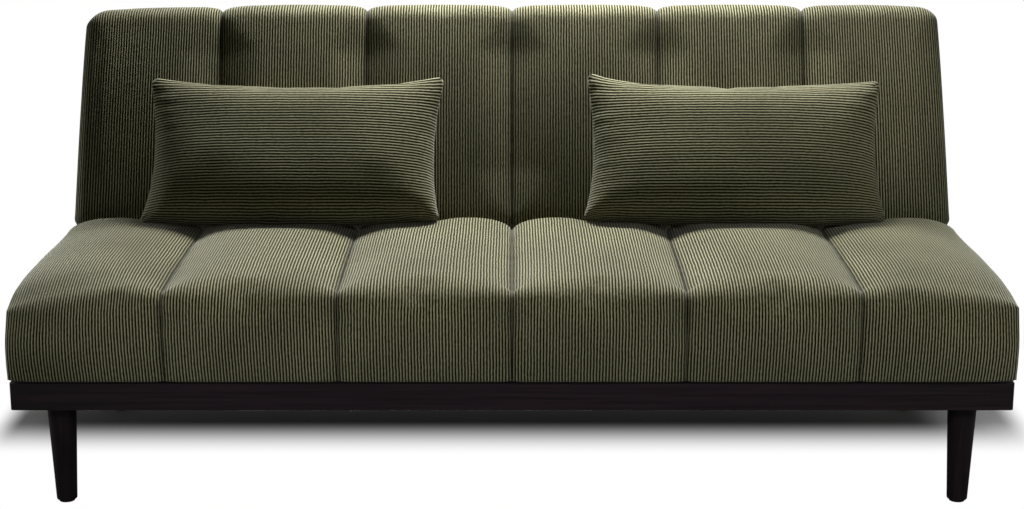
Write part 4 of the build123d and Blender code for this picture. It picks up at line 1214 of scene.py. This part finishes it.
notchX = [dustLow.x + fleece["notchWide"], dustHigh.x - fleece["notchWide"]]
notchY = [dustLow.y + fleece["notchDeep"], dustHigh.y - fleece["notchDeep"]]
dustX = cuts(dustLow.x, dustHigh.x, notchX + list(fleece["railAt"]), fleece["cell"])
dustY = cuts(dustLow.y, dustHigh.y, notchY, fleece["cell"])
dustSheet = gridCloth("dustSheet", dustX, dustY, dustKeep, dustPlace)
thicken(dustSheet, fleece["thick"])
dustSheet.data.materials.append(hard["dustFleece"])
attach(dustSheet, "base")
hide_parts("dust_cloth")
print("rear panel and dust sheet ready")


# stitches and staples, one node tree for both

thread = {"Length": 0.0052, "Spacing": 0.0068, "Width": 0.0010, "Vary": 0.12, "Seed": 7}
blindThread = {"Length": 0.0046, "Spacing": 0.0120, "Width": 0.0011, "Vary": 0.20, "Seed": 11}
staple = {"Length": 0.0100, "Spacing": 0.0450, "Width": 0.0012, "Vary": 0.05, "Seed": 3}


def makeRowTree():
    tree = bpy.data.node_groups.new("rowOfStitches", "GeometryNodeTree")
    face = tree.interface
    face.new_socket("Geometry", in_out="INPUT", socket_type="NodeSocketGeometry")
    for name in ("Length", "Spacing", "Width", "Vary"):
        face.new_socket(name, in_out="INPUT", socket_type="NodeSocketFloat")
    face.new_socket("Seed", in_out="INPUT", socket_type="NodeSocketInt")
    face.new_socket("Finish", in_out="INPUT", socket_type="NodeSocketMaterial")
    face.new_socket("Geometry", in_out="OUTPUT", socket_type="NodeSocketGeometry")
    given = addNode(tree, "NodeGroupInput").outputs
    line = addNode(tree, "GeometryNodeMeshToCurve", {"Mesh": given["Geometry"]})
    spots = addNode(
        tree,
        "GeometryNodeCurveToPoints",
        {"Curve": line.outputs[0], "Length": given["Spacing"]},
        mode="LENGTH",
    )
    bead = addNode(tree, "GeometryNodeMeshUVSphere", {"Segments": 8, "Rings": 5, "Radius": 0.5})
    sides = {"X": given["Width"], "Y": given["Width"], "Z": given["Length"]}
    size = addNode(tree, "ShaderNodeCombineXYZ", sides)
    least = addNode(tree, "ShaderNodeMath", {0: 1.0, 1: given["Vary"]}, operation="SUBTRACT")
    most = addNode(tree, "ShaderNodeMath", {0: 1.0, 1: given["Vary"]}, operation="ADD")
    chance = addNode(tree, "FunctionNodeRandomValue", {"Seed": given["Seed"]}, data_type="FLOAT")
    tree.links.new(least.outputs[0], chance.inputs[2])
    tree.links.new(most.outputs[0], chance.inputs[3])
    grown = addNode(
        tree,
        "ShaderNodeVectorMath",
        {0: size.outputs[0], "Scale": chance.outputs[1]},
        operation="SCALE",
    )
    row = addNode(
        tree,
        "GeometryNodeInstanceOnPoints",
        {
            "Points": spots.outputs["Points"],
            "Instance": bead.outputs["Mesh"],
            "Rotation": spots.outputs["Rotation"],
            "Scale": grown.outputs[0],
        },
    )
    real = addNode(tree, "GeometryNodeRealizeInstances", {"Geometry": row.outputs[0]})
    finish = {"Geometry": real.outputs[0], "Material": given["Finish"]}
    dressed = addNode(tree, "GeometryNodeSetMaterial", finish)
    addNode(tree, "NodeGroupOutput", {"Geometry": dressed.outputs[0]})
    return tree


rowTree = makeRowTree()


def sewRow(name, lines, sizes, finish, body):
    points, edges = [], []
    for line in lines:
        start = len(points)
        points += [tuple(p) for p in line]
        edges += [(start + k, start + k + 1) for k in range(len(line) - 1)]
    mesh = bpy.data.meshes.new(name)
    mesh.from_pydata(points, edges, [])
    piece = bpy.data.objects.new(name, mesh)
    scene.collection.objects.link(piece)
    row = piece.modifiers.new("row", "NODES")
    row.node_group = rowTree
    values = {**sizes, "Finish": finish}
    for item in rowTree.interface.items_tree:
        if item.in_out == "INPUT" and item.name in values:
            row[item.identifier] = values[item.name]
    bakeModifiers(piece)
    piece.data.polygons.foreach_set("use_smooth", [True] * len(piece.data.polygons))
    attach(piece, body)
    print(name, "has", len(piece.data.polygons), "faces")


stitchIn = panel["margin"] + panel["stitchIn"]
loopX = np.array([-1, 1, 1, -1, -1]) * (back["halfWidth"] - stitchIn)
loopU = np.array([stitchIn, stitchIn, back["length"] - stitchIn, back["length"] - stitchIn, stitchIn])
loopX = loopX * (1 - back["taper"] / back["halfWidth"] * loopU / back["length"])
panelLoop = leanPlace(loopX, loopU, np.full(len(loopX), back["rear"] - panel["stitchProud"]))
stapleZ = dustHigh.z - fleece["thick"] - fleece["stapleProud"]
stapleEnds = (dustLow.y + fleece["stapleIn"], dustHigh.y - fleece["stapleIn"])
stapleLines = [[(x, y, stapleZ) for y in stapleEnds] for x in fleece["railAt"]]

sewRow("seatStitches", seatThreads, thread, hard["seamShadeThread"], "base")
sewRow("backStitches", backThreads, thread, hard["seamShadeThread"], "backrest")
sewRow("panelStitches", [panelLoop], blindThread, hard["seamShadeThread"], "backrest")
sewRow("dustStaples", stapleLines, staple, hard["zincSteel"], "base")

for piece in scene.objects:
    if piece.type == "MESH" and piece != floor:
        sofaOnly.objects.link(piece)
